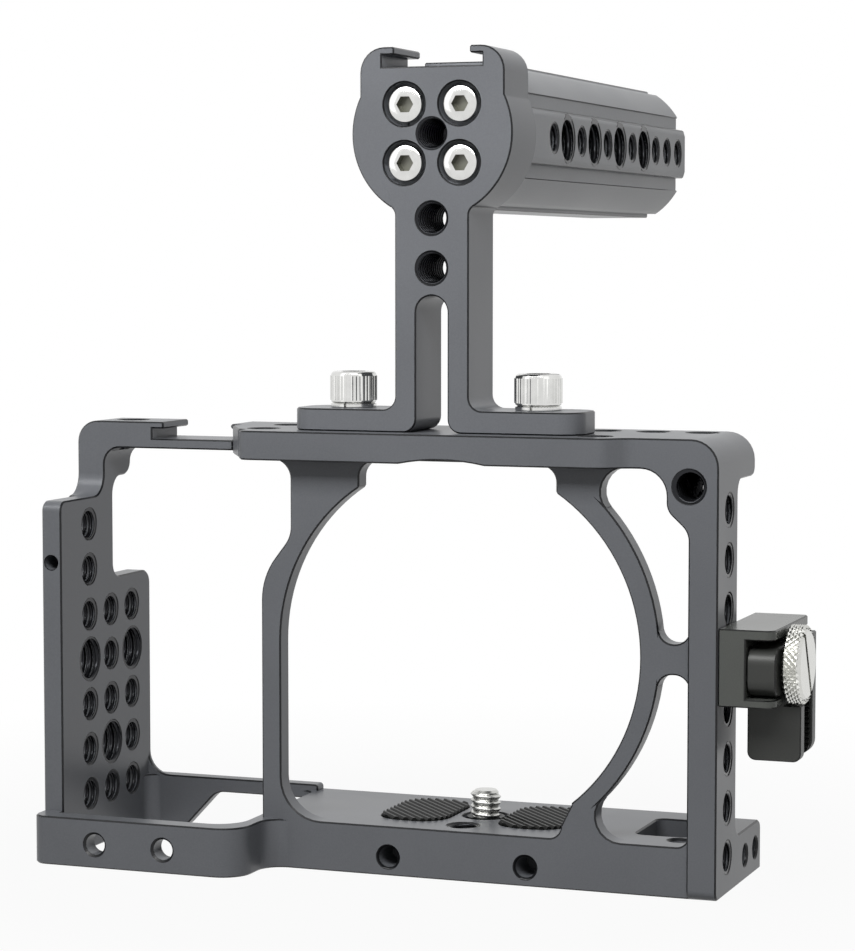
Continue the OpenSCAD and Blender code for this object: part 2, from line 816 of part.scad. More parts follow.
module camera_screw() {
    color(steel) translate([camera_c.x, camera_c.y, 0]) difference() {
        rotate_extrude() polygon([[0, screw_head_z],
            [screw_head_d / 2, screw_head_z], [screw_head_d / 2, head_bore_h - slip],
            [camera_screw_d / 2, head_bore_h - slip], [camera_screw_d / 2, clip_z0 - slip],
            [clip_groove_d / 2, clip_z0 - slip], [clip_groove_d / 2, clip_z1 + slip],
            [camera_screw_d / 2, clip_z1 + slip],
            [camera_screw_d / 2, screw_tip - tip_chamfer],
            [camera_screw_d / 2 - tip_chamfer, screw_tip], [0, screw_tip]]);
        translate([-screw_head_d / 2 - over, -head_slot_w / 2, screw_head_z - over])
            cube([screw_head_d + 2 * over, head_slot_w, head_slot_depth + over]);
    }
}

module camera_screw_clip() {
    color(steel) difference() {
        rod_z(clip_z0, clip_z1, camera_c.x, camera_c.y, clip_d);
        rod_z(clip_z0 - over, clip_z1 + over, camera_c.x, camera_c.y, clip_groove_d + 2 * slip);
    }
}

module rubber_pad(c) {
    color(rubber) translate([0, 0, base_t - pad_sink]) linear_extrude(pad_t) pad_shape(c, 0);
}

module rubber_pad_left() {
    rubber_pad(pad_left_c);
}

module rubber_pad_right() {
    rubber_pad(pad_right_c);
}

neck_z = head_z - sqrt(pow(head_r + head_neck_r, 2) - pow(column_w / 2 + head_neck_r, 2));

// Blend of the column's side into the round head, mirrored with s
function neck_web(s) =
    let (f = [column_w / 2 + head_neck_r, neck_z],
        t = atan2(head_z - neck_z, f.x))
    [for (p = concat([[0, head_z], [0, neck_z]], arc(f, head_neck_r, 180, 180 - t, arc_steps)))
        [stand_x + s * p.x, p.y]];

module stand_face() {
    difference() {
        union() {
            translate([stand_x - column_w / 2, cage_h]) square([column_w, head_z - cage_h]);
            polygon(arc([stand_x, head_z], head_r, 0, 360 - 360 / ring_steps, ring_steps - 1));
            for (s = [-1, 1]) {
                polygon(neck_web(s));
                polygon(cove([stand_x + s * column_w / 2, foot_top], s, 1, foot_cove, over, over));
            }
            polygon(outline([[stand_x - head_block_w / 2, head_z, 0],
                [stand_x + head_block_w / 2, head_z, 0],
                [stand_x + head_block_w / 2, head_top, head_block_r],
                [stand_x - head_block_w / 2, head_top, head_block_r]]));
        }
        // accessory slot in the head, open at both ends
        translate([stand_x - head_shoe_w / 2, head_top - head_lip_t - head_shoe_h])
            square([head_shoe_w, head_shoe_h]);
        translate([stand_x - head_shoe_w / 2 + shoe_lip, head_top - head_lip_t - head_shoe_h])
            square([head_shoe_w - 2 * shoe_lip, head_shoe_h + head_lip_t + over]);
    }
}

module column_slot() {
    translate([stand_x - slot_w / 2, cage_h - over])
        square([slot_w, slot_h - slot_w / 2 + over]);
    translate([stand_x, cage_h + slot_h - slot_w / 2]) circle(d = slot_w);
    for (s = [-1, 1])
        polygon([for (p = cove([0, 0], 1, 1, slot_flare_r, over, over))
            [stand_x + s * (slot_w / 2 + p.x), cage_h + p.y]]);
}

module stand_body() {
    difference() {
        union() {
            translate([0, 0, cage_h]) linear_extrude(foot_t)
                polygon(rounded_box([stand_x, front_y + stand_d / 2], foot_w, stand_d, foot_r));
            along_y(front_y, front_y + stand_d) stand_face();
        }
        along_y(front_y - over, front_y + stand_d + over) column_slot();
        for (s = [-1, 1])
            rod_z(cage_h - over, foot_top + over, stand_x + s * bolt_pitch / 2,
                front_y + bolt_y, shank_hole_d);
        for (i = [0, 1])
            rod_y(front_y - over, front_y + stand_d + over, stand_x,
                cage_h + column_hole_low + i * column_hole_pitch, quarter_d);
        rod_y(front_y - over, front_y + stand_d + over, stand_x, head_z, quarter_d);
        for (s = [-1, 1], t = [-1, 1]) {
            rod_y(front_y - over, front_y + stand_d + over, stand_x + s * head_screw_pitch / 2,
                head_z + t * head_screw_pitch / 2, m4_clear_d);
            rod_y(front_y - over, front_y + m4_bore_depth, stand_x + s * head_screw_pitch / 2,
                head_z + t * head_screw_pitch / 2, m4_bore_d);
        }
    }
}

// The stand is milled in one, and its foot, column and head meet face to face
module stand_part(low, high) {
    color(alloy) intersection() {
        stand_body();
        translate([stand_x - foot_w, front_y - over, low])
            cube([2 * foot_w, stand_d + 2 * over, high - low]);
    }
}

module handle_foot() {
    stand_part(cage_h, foot_seam);
}

module handle_column() {
    stand_part(foot_seam, head_seam);
}

module handle_head() {
    stand_part(head_seam, head_top + over);
}

grip_y0 = front_y + stand_d;
grip_y1 = grip_y0 + grip_l;
grip_cut = grip_d / 2;

module grip_face() {
    translate([stand_x, head_z]) difference() {
        intersection() {
            circle(d = grip_d);
            square([2 * grip_side, 2 * grip_top], center = true);
        }
        for (s = [-1, 1], t = [-1, 1]) scale([s, t]) {
            translate([grip_groove_x, grip_side_h])
                square([grip_cut, grip_groove_h - grip_side_h]);
            translate([grip_rail_w / 2, grip_step]) square([grip_cut, grip_cut]);
        }
    }
}

module handle_grip() {
    color(alloy) difference() {
        along_y(grip_y0, grip_y1) grip_face();
        rod_y(grip_y0 - over, grip_y1 + over, stand_x, head_z, grip_bore_d);
        rod_y(grip_y0 + grip_web, grip_y1 + over, stand_x, head_z, grip_tube_d);
        for (i = grip_small_holes)
            rod_x(stand_x - grip_side - over, stand_x + grip_side + over,
                grip_y0 + grip_first + i * grip_pitch, head_z, quarter_d);
        for (i = grip_big_holes)
            rod_x(stand_x - grip_side - over, stand_x + grip_side + over,
                grip_y0 + grip_first + i * grip_pitch, head_z, three_eighths_d);
        for (s = [-1, 1], t = [-1, 1])
            rod_y(grip_y0 - over, grip_y0 + m4_tap_depth, stand_x + s * head_screw_pitch / 2,
                head_z + t * head_screw_pitch / 2, m4_tap_d);
    }
}

bolt_z = foot_top + washer_t;

module handle_bolts() {
    color(steel) for (s = [-1, 1]) difference() {
        union() {
            rod_z(top_z + bolt_end, bolt_z, stand_x + s * bolt_pitch / 2,
                front_y + bolt_y, bolt_shank_d);
            rod_z(bolt_z, bolt_z + bolt_head_h, stand_x + s * bolt_pitch / 2,
                front_y + bolt_y, bolt_head_d);
        }
        hex_z(bolt_z + bolt_head_h - bolt_hex_depth, bolt_z + bolt_head_h + over,
            stand_x + s * bolt_pitch / 2, front_y + bolt_y, bolt_hex);
    }
}

module handle_washers() {
    color(steel) for (s = [-1, 1]) difference() {
        rod_z(foot_top, bolt_z, stand_x + s * bolt_pitch / 2, front_y + bolt_y, washer_d);
        rod_z(foot_top - over, bolt_z + over, stand_x + s * bolt_pitch / 2,
            front_y + bolt_y, shank_hole_d);
    }
}

// Socket screw through the stand's head into the grip
module grip_screw() {
    difference() {
        union() {
            cylinder(d = m4_head_d, h = m4_head_t);
            translate([0, 0, m4_head_t])
                cylinder(d = m4_shank_d, h = stand_d - m4_bore_depth + m4_reach);
        }
        hex_z(-over, m4_hex_depth, 0, 0, m4_hex);
    }
}

module grip_screws() {
    color(steel) for (s = [-1, 1], t = [-1, 1])
        translate([stand_x + s * head_screw_pitch / 2, front_y + m4_bore_depth - m4_head_t,
            head_z + t * head_screw_pitch / 2]) rotate([-90, 0, 0]) grip_screw();
}

module clamp_bracket() {
    color(alloy_dark) difference() {
        union() {
            translate([x_right, bracket_y0, bracket_z0])
                cube([web_t, bracket_l, bracket_h]);
            // roof
            translate([0, 0, bracket_z1 - arm_roof_t]) linear_extrude(arm_roof_t)
                polygon(outline([[x_right, bracket_y0, 0], [bracket_x1, bracket_y0, bracket_r],
                    [bracket_x1, bracket_y1, bracket_r / 2], [x_right, bracket_y1, 0]]));
            // sill in front of the front jaw
            translate([0, 0, bracket_z0]) linear_extrude(sill_t)
                polygon(outline([[x_right, bracket_y0, 0], [bracket_x1, bracket_y0, sill_r],
                    [bracket_x1, bracket_y0 + sill_l, 0], [x_right, bracket_y0 + sill_l, 0]]));
        }
        rod_x(web_x1 - screw_seat, web_x1 + over, knob_y, knob_z,
            clamp_screw_d + 2 * screw_running);
        rod_x(x_right - over, x_right + mount_depth, front_y + right_hole_y, clamp_z, quarter_d);
        rod_x(x_right - over, x_right + pin_depth, front_y + right_hole_y + pin_y,
            clamp_z - pin_drop, pin_d + 2 * pin_gap);
    }
}

jaw_face = [[jaw_x0, jaw_low, jaw_r], [jaw_x1, jaw_low, jaw_r],
    [jaw_x1, jaw_top, 0], [jaw_x0, jaw_top, 0]];

module clamp_jaw() {
    color(alloy_dark) difference() {
        union() {
            along_x(boss_x0, boss_x1) polygon(outline([[boss_front, boss_low, boss_r],
                [boss_rear, boss_low, 0], [boss_rear, boss_top, 0],
                [boss_front, boss_top, boss_r]]));
            along_y(jaw_front_y, jaw_front_y + jaw_t) {
                polygon(outline(jaw_face));
                translate([boss_x0, jaw_top - over])
                    square([boss_x1 - boss_x0, knob_z - jaw_top + over]);
            }
        }
        // slot that lets the jaw travel past the screw
        for (y = [knob_y - jaw_travel_in, knob_y + jaw_travel_out])
            rod_x(boss_x0 - over, boss_x1 + over, y, knob_z, clamp_screw_d + slide_slot_gap);
        translate([boss_x0 - over, knob_y - jaw_travel_in,
            knob_z - (clamp_screw_d + slide_slot_gap) / 2])
            cube([boss_x1 - boss_x0 + 2 * over, jaw_travel_in + jaw_travel_out,
                clamp_screw_d + slide_slot_gap]);
    }
}

module jaw_pad(y0, y1) {
    color(rubber) along_y(y0, y1)
        polygon(outline([[jaw_x0 + pad_edge, jaw_low + pad_edge, jaw_r],
            [jaw_x1 - pad_edge, jaw_low + pad_edge, jaw_r],
            [jaw_x1 - pad_edge, jaw_top, 0], [jaw_x0 + pad_edge, jaw_top, 0]]));
}

module clamp_front_pad() {
    jaw_pad(pad_y0, pad_y0 + front_pad_t);
}

module clamp_rear_jaw() {
    color(alloy_dark) along_y(rear_jaw_y, rear_jaw_y + jaw_t)
        polygon(outline([[web_x1, bracket_z1 - arm_roof_t, 0], [web_x1, bracket_z0, 0],
            [jaw_x0, jaw_top, 0], [jaw_x0, jaw_low, jaw_r],
            [jaw_x1, jaw_low, rear_jaw_r], [jaw_x1, bracket_z1 - arm_roof_t, 0]]));
}

module clamp_rear_pad() {
    jaw_pad(rear_pad_y, rear_jaw_y);
}

module clamp_knob() {
    color(steel) difference() {
        translate([knob_x0, knob_y, knob_z]) rotate([0, 90, 0]) rotate_extrude()
            polygon([[clamp_screw_d / 2 + slip, 0], [knob_d / 2 - knob_chamfer, 0],
                [knob_d / 2, knob_chamfer], [knob_d / 2, knob_t - knob_chamfer],
                [knob_d / 2 - knob_chamfer, knob_t], [clamp_screw_d / 2 + slip, knob_t]]);
        // coin slot across the face
        translate([knob_x1 - knob_slot_depth, knob_y, knob_z]) rotate([knob_slot_turn, 0, 0])
            translate([0, -knob_slot_w / 2, -knob_d / 2])
            cube([knob_slot_depth + over, knob_slot_w, knob_d]);
    }
}

module clamp_screw() {
    color(steel) rod_x(web_x1 - screw_seat + screw_tip_gap, knob_x1 - knob_slot_depth,
        knob_y, knob_z, clamp_screw_d);
}

module clamp_washer() {
    color(steel) difference() {
        rod_x(washer_x0, washer_x1, knob_y, knob_z, washer_out_d);
        rod_x(washer_x0 - over, washer_x1 + over, knob_y, knob_z, washer_in_d);
    }
}

// Headless screw through the side plate into the clamp's web
module clamp_mount_screw() {
    color(steel) difference() {
        rod_x(in_right + mount_inset, x_right + mount_depth - mount_tip_gap,
            front_y + right_hole_y, clamp_z, quarter_d - screw_gap);
        translate([in_right + mount_inset - over, front_y + right_hole_y, clamp_z])
            rotate([0, 90, 0])
            cylinder(d = mount_hex / cos(30), h = mount_hex_depth + over, $fn = 6);
    }
}

module clamp_locating_pin() {
    color(steel) rod_x(x_right - pin_depth + pin_gap, x_right + pin_depth - pin_gap,
        front_y + right_hole_y + pin_y, clamp_z - pin_drop, pin_d);
}

base_plate();
left_side_plate();
top_plate();
right_side_plate();
front_pillar();
lens_ring();
camera_screw();
camera_screw_clip();
rubber_pad_left();
rubber_pad_right();
handle_foot();
handle_column();
handle_head();
handle_grip();
handle_bolts();
handle_washers();
grip_screws();
clamp_bracket();
clamp_jaw();
clamp_front_pad();
clamp_rear_jaw();
clamp_rear_pad();
clamp_knob();
clamp_screw();
clamp_washer();
clamp_mount_screw();
clamp_locating_pin();
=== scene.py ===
import bpy
import bmesh
import math
from mathutils import Matrix, Vector


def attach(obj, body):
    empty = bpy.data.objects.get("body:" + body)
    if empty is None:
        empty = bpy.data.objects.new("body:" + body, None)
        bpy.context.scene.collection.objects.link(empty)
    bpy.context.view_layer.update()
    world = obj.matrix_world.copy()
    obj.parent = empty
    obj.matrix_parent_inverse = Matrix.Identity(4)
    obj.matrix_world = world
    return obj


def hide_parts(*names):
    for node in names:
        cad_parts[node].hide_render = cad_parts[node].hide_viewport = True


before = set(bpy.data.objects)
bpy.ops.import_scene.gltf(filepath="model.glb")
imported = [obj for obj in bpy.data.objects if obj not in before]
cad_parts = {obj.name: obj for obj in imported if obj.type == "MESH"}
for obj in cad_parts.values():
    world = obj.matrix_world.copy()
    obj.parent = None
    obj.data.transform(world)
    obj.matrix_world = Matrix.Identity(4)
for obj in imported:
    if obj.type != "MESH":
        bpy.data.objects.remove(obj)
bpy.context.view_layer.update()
scene = bpy.context.scene

# Milled frame. The base, both sides, the top, the pillar and the lens ring are
# one block of aluminium, bead blasted and anodised dark grey. Every edge and
# hole mouth has the small chamfer that the deburring cutter leaves.
MM = 0.001
X, Y, Z = 0, 1, 2


def linear(colour):
    """sRGB hex to a linear colour."""
    parts = [int(colour[i:i + 2], 16) / 255 for i in (1, 3, 5)]
    return tuple(c / 12.92 if c <= 0.04045 else ((c + 0.055) / 1.055) ** 2.4
                 for c in parts) + (1.0,)


def node(tree, kind, values=None, **settings):
    """Adds one node. A value that is another node's output is linked, any other is set."""
    made = tree.nodes.new(kind)
    for key, value in settings.items():
        setattr(made, key, value)
    for key, value in (values or {}).items():
        if isinstance(value, bpy.types.NodeSocket):
            tree.links.new(value, made.inputs[key])
        else:
            made.inputs[key].default_value = value
    return made


def blank_material(name):
    """A new material that has no nodes yet."""
    made = bpy.data.materials.new(name)
    made.use_nodes = True
    made.node_tree.nodes.clear()
    return made


# most of a noise texture's values lie in this range
NOISE_SPAN = {"From Min": 0.3, "From Max": 0.7}


def anodised_aluminium(name, colour, roughness, metallic=0.1):
    """Bead-blasted, anodised aluminium: a satin sheen over a very fine, even grain, in a
    dye that took a few percent unevenly."""
    # in mm; bead dimples are about 0.1 wide, and are drawn at 0.3 so that they show
    dye_patch, dimple_width, dimple_depth = 25.0, 0.303, 0.02
    uneven_dye, uneven_grain, uneven_gloss = 0.05, 0.05, 0.03
    made = blank_material(name)
    tree = made.node_tree
    place = node(tree, "ShaderNodeTexCoord").outputs["Object"]
    dye = node(tree, "ShaderNodeTexNoise",
               {"Vector": place, "Scale": 1 / (dye_patch * MM), "Detail": 3.0}).outputs["Fac"]
    grain = node(tree, "ShaderNodeTexNoise",
                 {"Vector": place, "Scale": 1 / (dimple_width * MM),
                  "Detail": 2.0}).outputs["Fac"]
    drift = node(tree, "ShaderNodeMapRange", {"Value": dye, **NOISE_SPAN,
                                              "To Min": 1 - uneven_dye,
                                              "To Max": 1 + uneven_dye})
    speck = node(tree, "ShaderNodeMapRange", {"Value": grain, **NOISE_SPAN,
                                              "To Min": 1 - uneven_grain,
                                              "To Max": 1 + uneven_grain})
    tone = node(tree, "ShaderNodeMath", {0: drift.outputs[0], 1: speck.outputs[0]},
                operation="MULTIPLY")
    shade = node(tree, "ShaderNodeVectorMath",
                 {0: linear(colour)[:3], "Scale": tone.outputs[0]}, operation="SCALE")
    satin = node(tree, "ShaderNodeMapRange", {"Value": dye, **NOISE_SPAN,
                                              "To Min": roughness - uneven_gloss,
                                              "To Max": roughness + uneven_gloss})
    dimple = node(tree, "ShaderNodeBump", {"Height": grain, "Strength": 0.15,
                                           "Distance": dimple_depth * MM})
    skin = node(tree, "ShaderNodeBsdfPrincipled",
                {"Base Color": shade.outputs[0], "Metallic": metallic,
                 "Specular IOR Level": 0.3, "Roughness": satin.outputs[0],
                 "Normal": dimple.outputs[0]})
    node(tree, "ShaderNodeOutputMaterial", {"Surface": skin.outputs[0]})
    return made


def plain_mesh(ob):
    """The evaluated object as a plain mesh."""
    bpy.context.view_layer.update()
    graph = bpy.context.evaluated_depsgraph_get()
    return bpy.data.meshes.new_from_object(ob.evaluated_get(graph))


def new_object(name, mesh):
    ob = bpy.data.objects.new(name, mesh)
    scene.collection.objects.link(ob)
    return ob


def combined(operation, first, *others):
    """One closed mesh: the first mesh with the others joined to it or cut out of it."""
    made = [new_object("part", mesh) for mesh in (first,) + others]
    for other in made[1:]:
        step = made[0].modifiers.new("combine", "BOOLEAN")
        step.operation, step.object, step.solver = operation, other, "MANIFOLD"
    mesh = plain_mesh(made[0])
    mesh.materials.clear()
    for ob in made:
        bpy.data.objects.remove(ob)
    return mesh


def solid_of(name):
    """A closed copy of a CAD solid."""
    weld = 0.002
    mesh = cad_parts[name].data.copy()
    mesh.materials.clear()
    shape = bmesh.new()
    shape.from_mesh(mesh)
    bmesh.ops.remove_doubles(shape, verts=shape.verts, dist=weld * MM)
    shape.to_mesh(mesh)
    shape.free()
    return mesh


def mouths(axis, radius, spots):
    """The circles (axis, first, second, radius) of holes along an axis, in mm."""
    return [(axis, first, second, radius) for first, second in spots]


def on_circle(edge, circles):
    """Is the edge part of one of the circles?"""
    near = 0.02
    for axis, first, second, radius in circles:
        a, b = [i for i in range(3) if i != axis]
        if all(abs(math.hypot(v.co[a] / MM - first, v.co[b] / MM - second) - radius) < near
               for v in edge.verts):
            return True
    return False


# in degrees, an edge that turns by more than this stays sharp in the shading
SHARP_FROM = 30


def chamfered(mesh, edge_cut, *mouth_cuts):
    """Cuts a chamfer, in mm, along the sharp outer edges, and its own (cut, circles) round
    each set of hole mouths. The chamfers take the second material."""
    weld, flat_within, cut_from = 0.001, math.radians(0.6), math.radians(50)
    shape = bmesh.new()
    shape.from_mesh(mesh)
    bmesh.ops.dissolve_limit(shape, angle_limit=flat_within, verts=shape.verts,
                             edges=shape.edges)
    reach = [[pick(v.co[i] for v in shape.verts) for i in range(3)] for pick in (min, max)]
    for cut, circles in mouth_cuts + ((edge_cut, None),):
        edges = [e for e in shape.edges if len(e.link_faces) == 2
                 and e.calc_face_angle_signed(0) > cut_from
                 and (circles is None or on_circle(e, circles))]
        bmesh.ops.bevel(shape, geom=edges, offset=cut * MM, offset_type="OFFSET", segments=1,
                        affect="EDGES", clamp_overlap=False, loop_slide=False, material=1)
    bmesh.ops.remove_doubles(shape, verts=shape.verts, dist=weld * MM)
    # a chamfer only takes material away, so no corner may pass the solid's own box
    for v in shape.verts:
        v.co = [min(max(v.co[i], reach[0][i]), reach[1][i]) for i in range(3)]
    for face in shape.faces:
        face.smooth = True
    shape.to_mesh(mesh)
    shape.free()
    mesh.set_sharp_from_angle(angle=math.radians(SHARP_FROM))
    # large flat faces keep their own normal, and the narrow strips bend to meet them
    ob = new_object("part", mesh)
    ob.modifiers.new("even", "WEIGHTED_NORMAL").keep_sharp = True
    mesh = plain_mesh(ob)
    bpy.data.objects.remove(ob)
    return mesh


def piece(name, mesh, body, slot, materials, *stands_for):
    """Names a finished piece, gives it its materials, and fixes it to its body. A mesh
    that was grown has its material already."""
    ob = new_object(name, mesh)
    for made in materials:
        if made not in list(mesh.materials):
            mesh.materials.append(made)
    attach(ob, body)
    if stands_for:
        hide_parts(*stands_for)
    return ob


# the blasted faces are a soft dark grey, and the chamfers are painted near-black: painted shade
# that stands in for the dark reflection along each edge, so it draws a fine line round each face
dark_aluminium = anodised_aluminium("anodised_aluminium_dark_grey", "#616367", 0.33)
edge_painted_shade = anodised_aluminium("anodised_aluminium_edge_painted_shade", "#1A1B1D", 0.3)

# radii of the holes, in mm
QUARTER, LARGE, FRONT_SCREW, SIDE_SCREW, WALL_SCREW = 3.05, 4.6, 2.1, 2.0, 1.5
# the walls' two faces, in mm
LEFT_WALL, RIGHT_WALL, TOP_WALL = (-70.5, -66.1), (64.6, 70.5), (83.3, 89.2)
ARM, BASE, CORNER_BLOCK = (84.0, 89.6), (0.0, 10.0), (-18.8, -10.8)
# places of the holes across their axis, in mm, in columns and rows of one step
LEFT_COLUMNS, LEFT_LOW, LEFT_STEP = (-13.3, -3.5, 6.3), 11.6, 9.47
left_rows = ((0, 1, 2, 4, 5, 6), (0, 2, 3, 4), (0, 1, 2, 4))
left_small = [(y, LEFT_LOW + row * LEFT_STEP)
              for y, rows in zip(LEFT_COLUMNS, left_rows) for row in rows]
left_large = [(y, LEFT_LOW + row * LEFT_STEP) for y, row in zip(LEFT_COLUMNS, (3, 1, 3))]
RIGHT_Y, RIGHT_LOW, RIGHT_STEP = -10.2, 7.3, 9.7
right_small = [(RIGHT_Y, RIGHT_LOW + RIGHT_STEP * row) for row in range(8)]
top_small = [(41.2, 3.0), (51.3, 3.0), (61.4, 3.0), (-26.3, -13.1), (-26.3, 0.5), (45.0, -15.5)]
arm_small, tripod_small, corner_small = [(-62.4, 0.5)], [(16.1, -10.9)], [(64.7, 80.1)]
front_screws = [(-56.1, 4.8), (-40.9, 4.8), (2.4, 3.8), (31.4, 3.8)]
side_screws = [(3.9, 5.0), (12.0, 5.0)]
alignment_hole, wall_screw = [(60.8, -10.5)], [(-68.4, 61.4)]
frame_mouths = (mouths(X, QUARTER, left_small + right_small)
                + mouths(Z, QUARTER, top_small + arm_small + tripod_small)
                + mouths(Y, QUARTER, corner_small) + mouths(Y, FRONT_SCREW, front_screws)
                + mouths(X, SIDE_SCREW, side_screws) + mouths(Z, SIDE_SCREW, alignment_hole))
# the cutter's chamfers, in mm
FRAME_CUT, MOUTH_CUT, LARGE_CUT, WALL_SCREW_CUT = 0.32, 0.5, 0.2, 0.15
frame_nodes = ("base_plate", "left_side_plate", "top_plate", "right_side_plate",
               "front_pillar", "lens_ring")
milled = chamfered(combined("UNION", *[solid_of(name) for name in frame_nodes]), FRAME_CUT,
                   (MOUTH_CUT, frame_mouths), (LARGE_CUT, mouths(X, LARGE, left_large)),
                   (WALL_SCREW_CUT, mouths(Y, WALL_SCREW, wall_screw)))
piece("milled_frame", milled, "cage", "alloy", [dark_aluminium, edge_painted_shade], *frame_nodes)

# Threads of the accessory holes. Each is tapped, so its wall is a helical ridge:
# 20 turns to the inch in the quarter-inch holes, 16 in the three-eighths ones.


def sized_inputs(tree, sizes):
    """Gives a geometry tree its named inputs and its output."""
    tree.interface.new_socket("Geometry", in_out="INPUT", socket_type="NodeSocketGeometry")
    for name, value in sizes.items():
        kind = ("NodeSocketVector" if isinstance(value, tuple)
                else "NodeSocketInt" if isinstance(value, int) else "NodeSocketFloat")
        tree.interface.new_socket(name, in_out="INPUT", socket_type=kind).default_value = value
    tree.interface.new_socket("Material", in_out="INPUT", socket_type="NodeSocketMaterial")
    tree.interface.new_socket("Geometry", in_out="OUTPUT", socket_type="NodeSocketGeometry")
    return tree.nodes.new("NodeGroupInput").outputs


def finish_tree(tree, given, geometry):
    """Ends a geometry tree: its instances become real and take the material."""
    real = node(tree, "GeometryNodeRealizeInstances", {"Geometry": geometry})
    dressed = node(tree, "GeometryNodeSetMaterial",
                   {"Geometry": real.outputs[0], "Material": given["Material"]})
    node(tree, "NodeGroupOutput", {"Geometry": dressed.outputs[0]})


def grown(tree, sizes, material, places=((0, 0, 0),)):
    """Runs a geometry tree on a set of places in mm and keeps the result as a plain mesh."""
    start = bpy.data.meshes.new("places")
    start.from_pydata([Vector(p) * MM for p in places], [], [])
    ob = new_object("places", start)
    step = ob.modifiers.new("repeat", "NODES")
    step.node_group = tree
    for item in tree.interface.items_tree:
        if item.in_out == "INPUT" and item.name in sizes:
            step[item.identifier] = sizes[item.name]
        if item.in_out == "INPUT" and item.name == "Material":
            step[item.identifier] = material
    mesh = plain_mesh(ob)
    bpy.data.objects.remove(ob)
    return mesh


QUARTER_PITCH, LARGE_PITCH = 1.27, 1.5875
DIRECTIONS = ((1.0, 0.0, 0.0), (0.0, 1.0, 0.0), (0.0, 0.0, 1.0))
camera_thread = {"Length": 4.4 * MM, "Pitch": QUARTER_PITCH * MM, "Radius": 2.6 * MM,
                 "Ridge": 0.56 * MM, "Direction": DIRECTIONS[Z]}
thread_tree = bpy.data.node_groups.new("tapped_thread", "GeometryNodeTree")
given = sized_inputs(thread_tree, camera_thread)
turns = node(thread_tree, "ShaderNodeMath", {0: given["Length"], 1: given["Pitch"]},
             operation="DIVIDE")
helix = node(thread_tree, "GeometryNodeCurveSpiral",
             {"Resolution": 24, "Rotations": turns.outputs[0], "Start Radius": given["Radius"],
              "End Radius": given["Radius"], "Height": given["Length"]})
upright = node(thread_tree, "GeometryNodeSetCurveNormal", {"Curve": helix.outputs[0]},
               mode="Z_UP")
ridge = node(thread_tree, "GeometryNodeCurvePrimitiveCircle",
             {"Resolution": 4, "Radius": given["Ridge"]})
swept = node(thread_tree, "GeometryNodeCurveToMesh",
             {"Curve": upright.outputs[0], "Profile Curve": ridge.outputs[0],
              "Fill Caps": True})
turned = node(thread_tree, "FunctionNodeAlignRotationToVector",
              {"Vector": given["Direction"]}, axis="Z")
placed = node(thread_tree, "GeometryNodeInstanceOnPoints",
              {"Points": given["Geometry"], "Instance": swept.outputs[0],
               "Rotation": turned.outputs[0]})
finish_tree(thread_tree, given, placed.outputs[0])

# the threads are painted near-black as painted shade for the hollow of each hole, and their
# glossy flanks glint in fine lines
tapped_painted_shade = anodised_aluminium("anodised_aluminium_tapped_painted_shade", "#242528", 0.22, 0.6)
# hole radius, pitch, ridge and how far the helix starts beyond the wall, in mm
QUARTER_THREAD = (QUARTER, QUARTER_PITCH, 0.5, 0.4)
LARGE_THREAD = (LARGE, LARGE_PITCH, 0.78, 0.9)


def block(low, high):
    """A plain block between two corners in mm, for cutting with."""
    shape = bmesh.new()
    bmesh.ops.create_cube(shape, size=1.0)
    for v in shape.verts:
        v.co = [(low[i] + high[i]) / 2 * MM + v.co[i] * (high[i] - low[i]) * MM
                for i in range(3)]
    mesh = bpy.data.meshes.new("block")
    shape.to_mesh(mesh)
    shape.free()
    return mesh


def tapped_holes(name, axis, wall, spots, thread=QUARTER_THREAD, slot="alloy"):
    """Threads between a wall's two faces along an axis, at spots across it, in mm. The
    helix grows from beyond the wall, rooted in it, and is cut a little inside its faces."""
    shy, rooted, far = 0.15, 0.05, 200.0
    radius, pitch, ridge, beyond = thread
    start, end = wall
    places = []
    for spot in spots:
        place = list(spot)
        place.insert(axis, start - beyond)
        places.append(place)
    sizes = {"Length": (end - start + 2 * beyond) * MM, "Pitch": pitch * MM,
             "Radius": (radius + rooted) * MM, "Ridge": ridge * MM,
             "Direction": DIRECTIONS[axis]}
    low, high = [-far] * 3, [far] * 3
    low[axis], high[axis] = start + shy, end - shy
    ridges = combined("INTERSECT", grown(thread_tree, sizes, tapped_painted_shade, places), block(low, high))
    return piece(name, ridges, "cage", slot, [tapped_painted_shade])


# the screw that holds the clamp fills this row of the right side
CLAMP_ROW = 4
tapped_holes("threads_left_small", X, LEFT_WALL, left_small)
tapped_holes("threads_left_large", X, LEFT_WALL, left_large, LARGE_THREAD)
tapped_holes("threads_right", X, RIGHT_WALL,
             [spot for row, spot in enumerate(right_small) if row != CLAMP_ROW])
tapped_holes("threads_top", Z, TOP_WALL, top_small)
tapped_holes("threads_arm", Z, ARM, arm_small)
tapped_holes("threads_tripod", Z, BASE, tripod_small)
tapped_holes("threads_corner", Y, CORNER_BLOCK, corner_small)

# Rubber pads. Two moulded black rubber pads sit in shallow seats of the base, and
# slanting ribs across their tops grip the camera's underside.


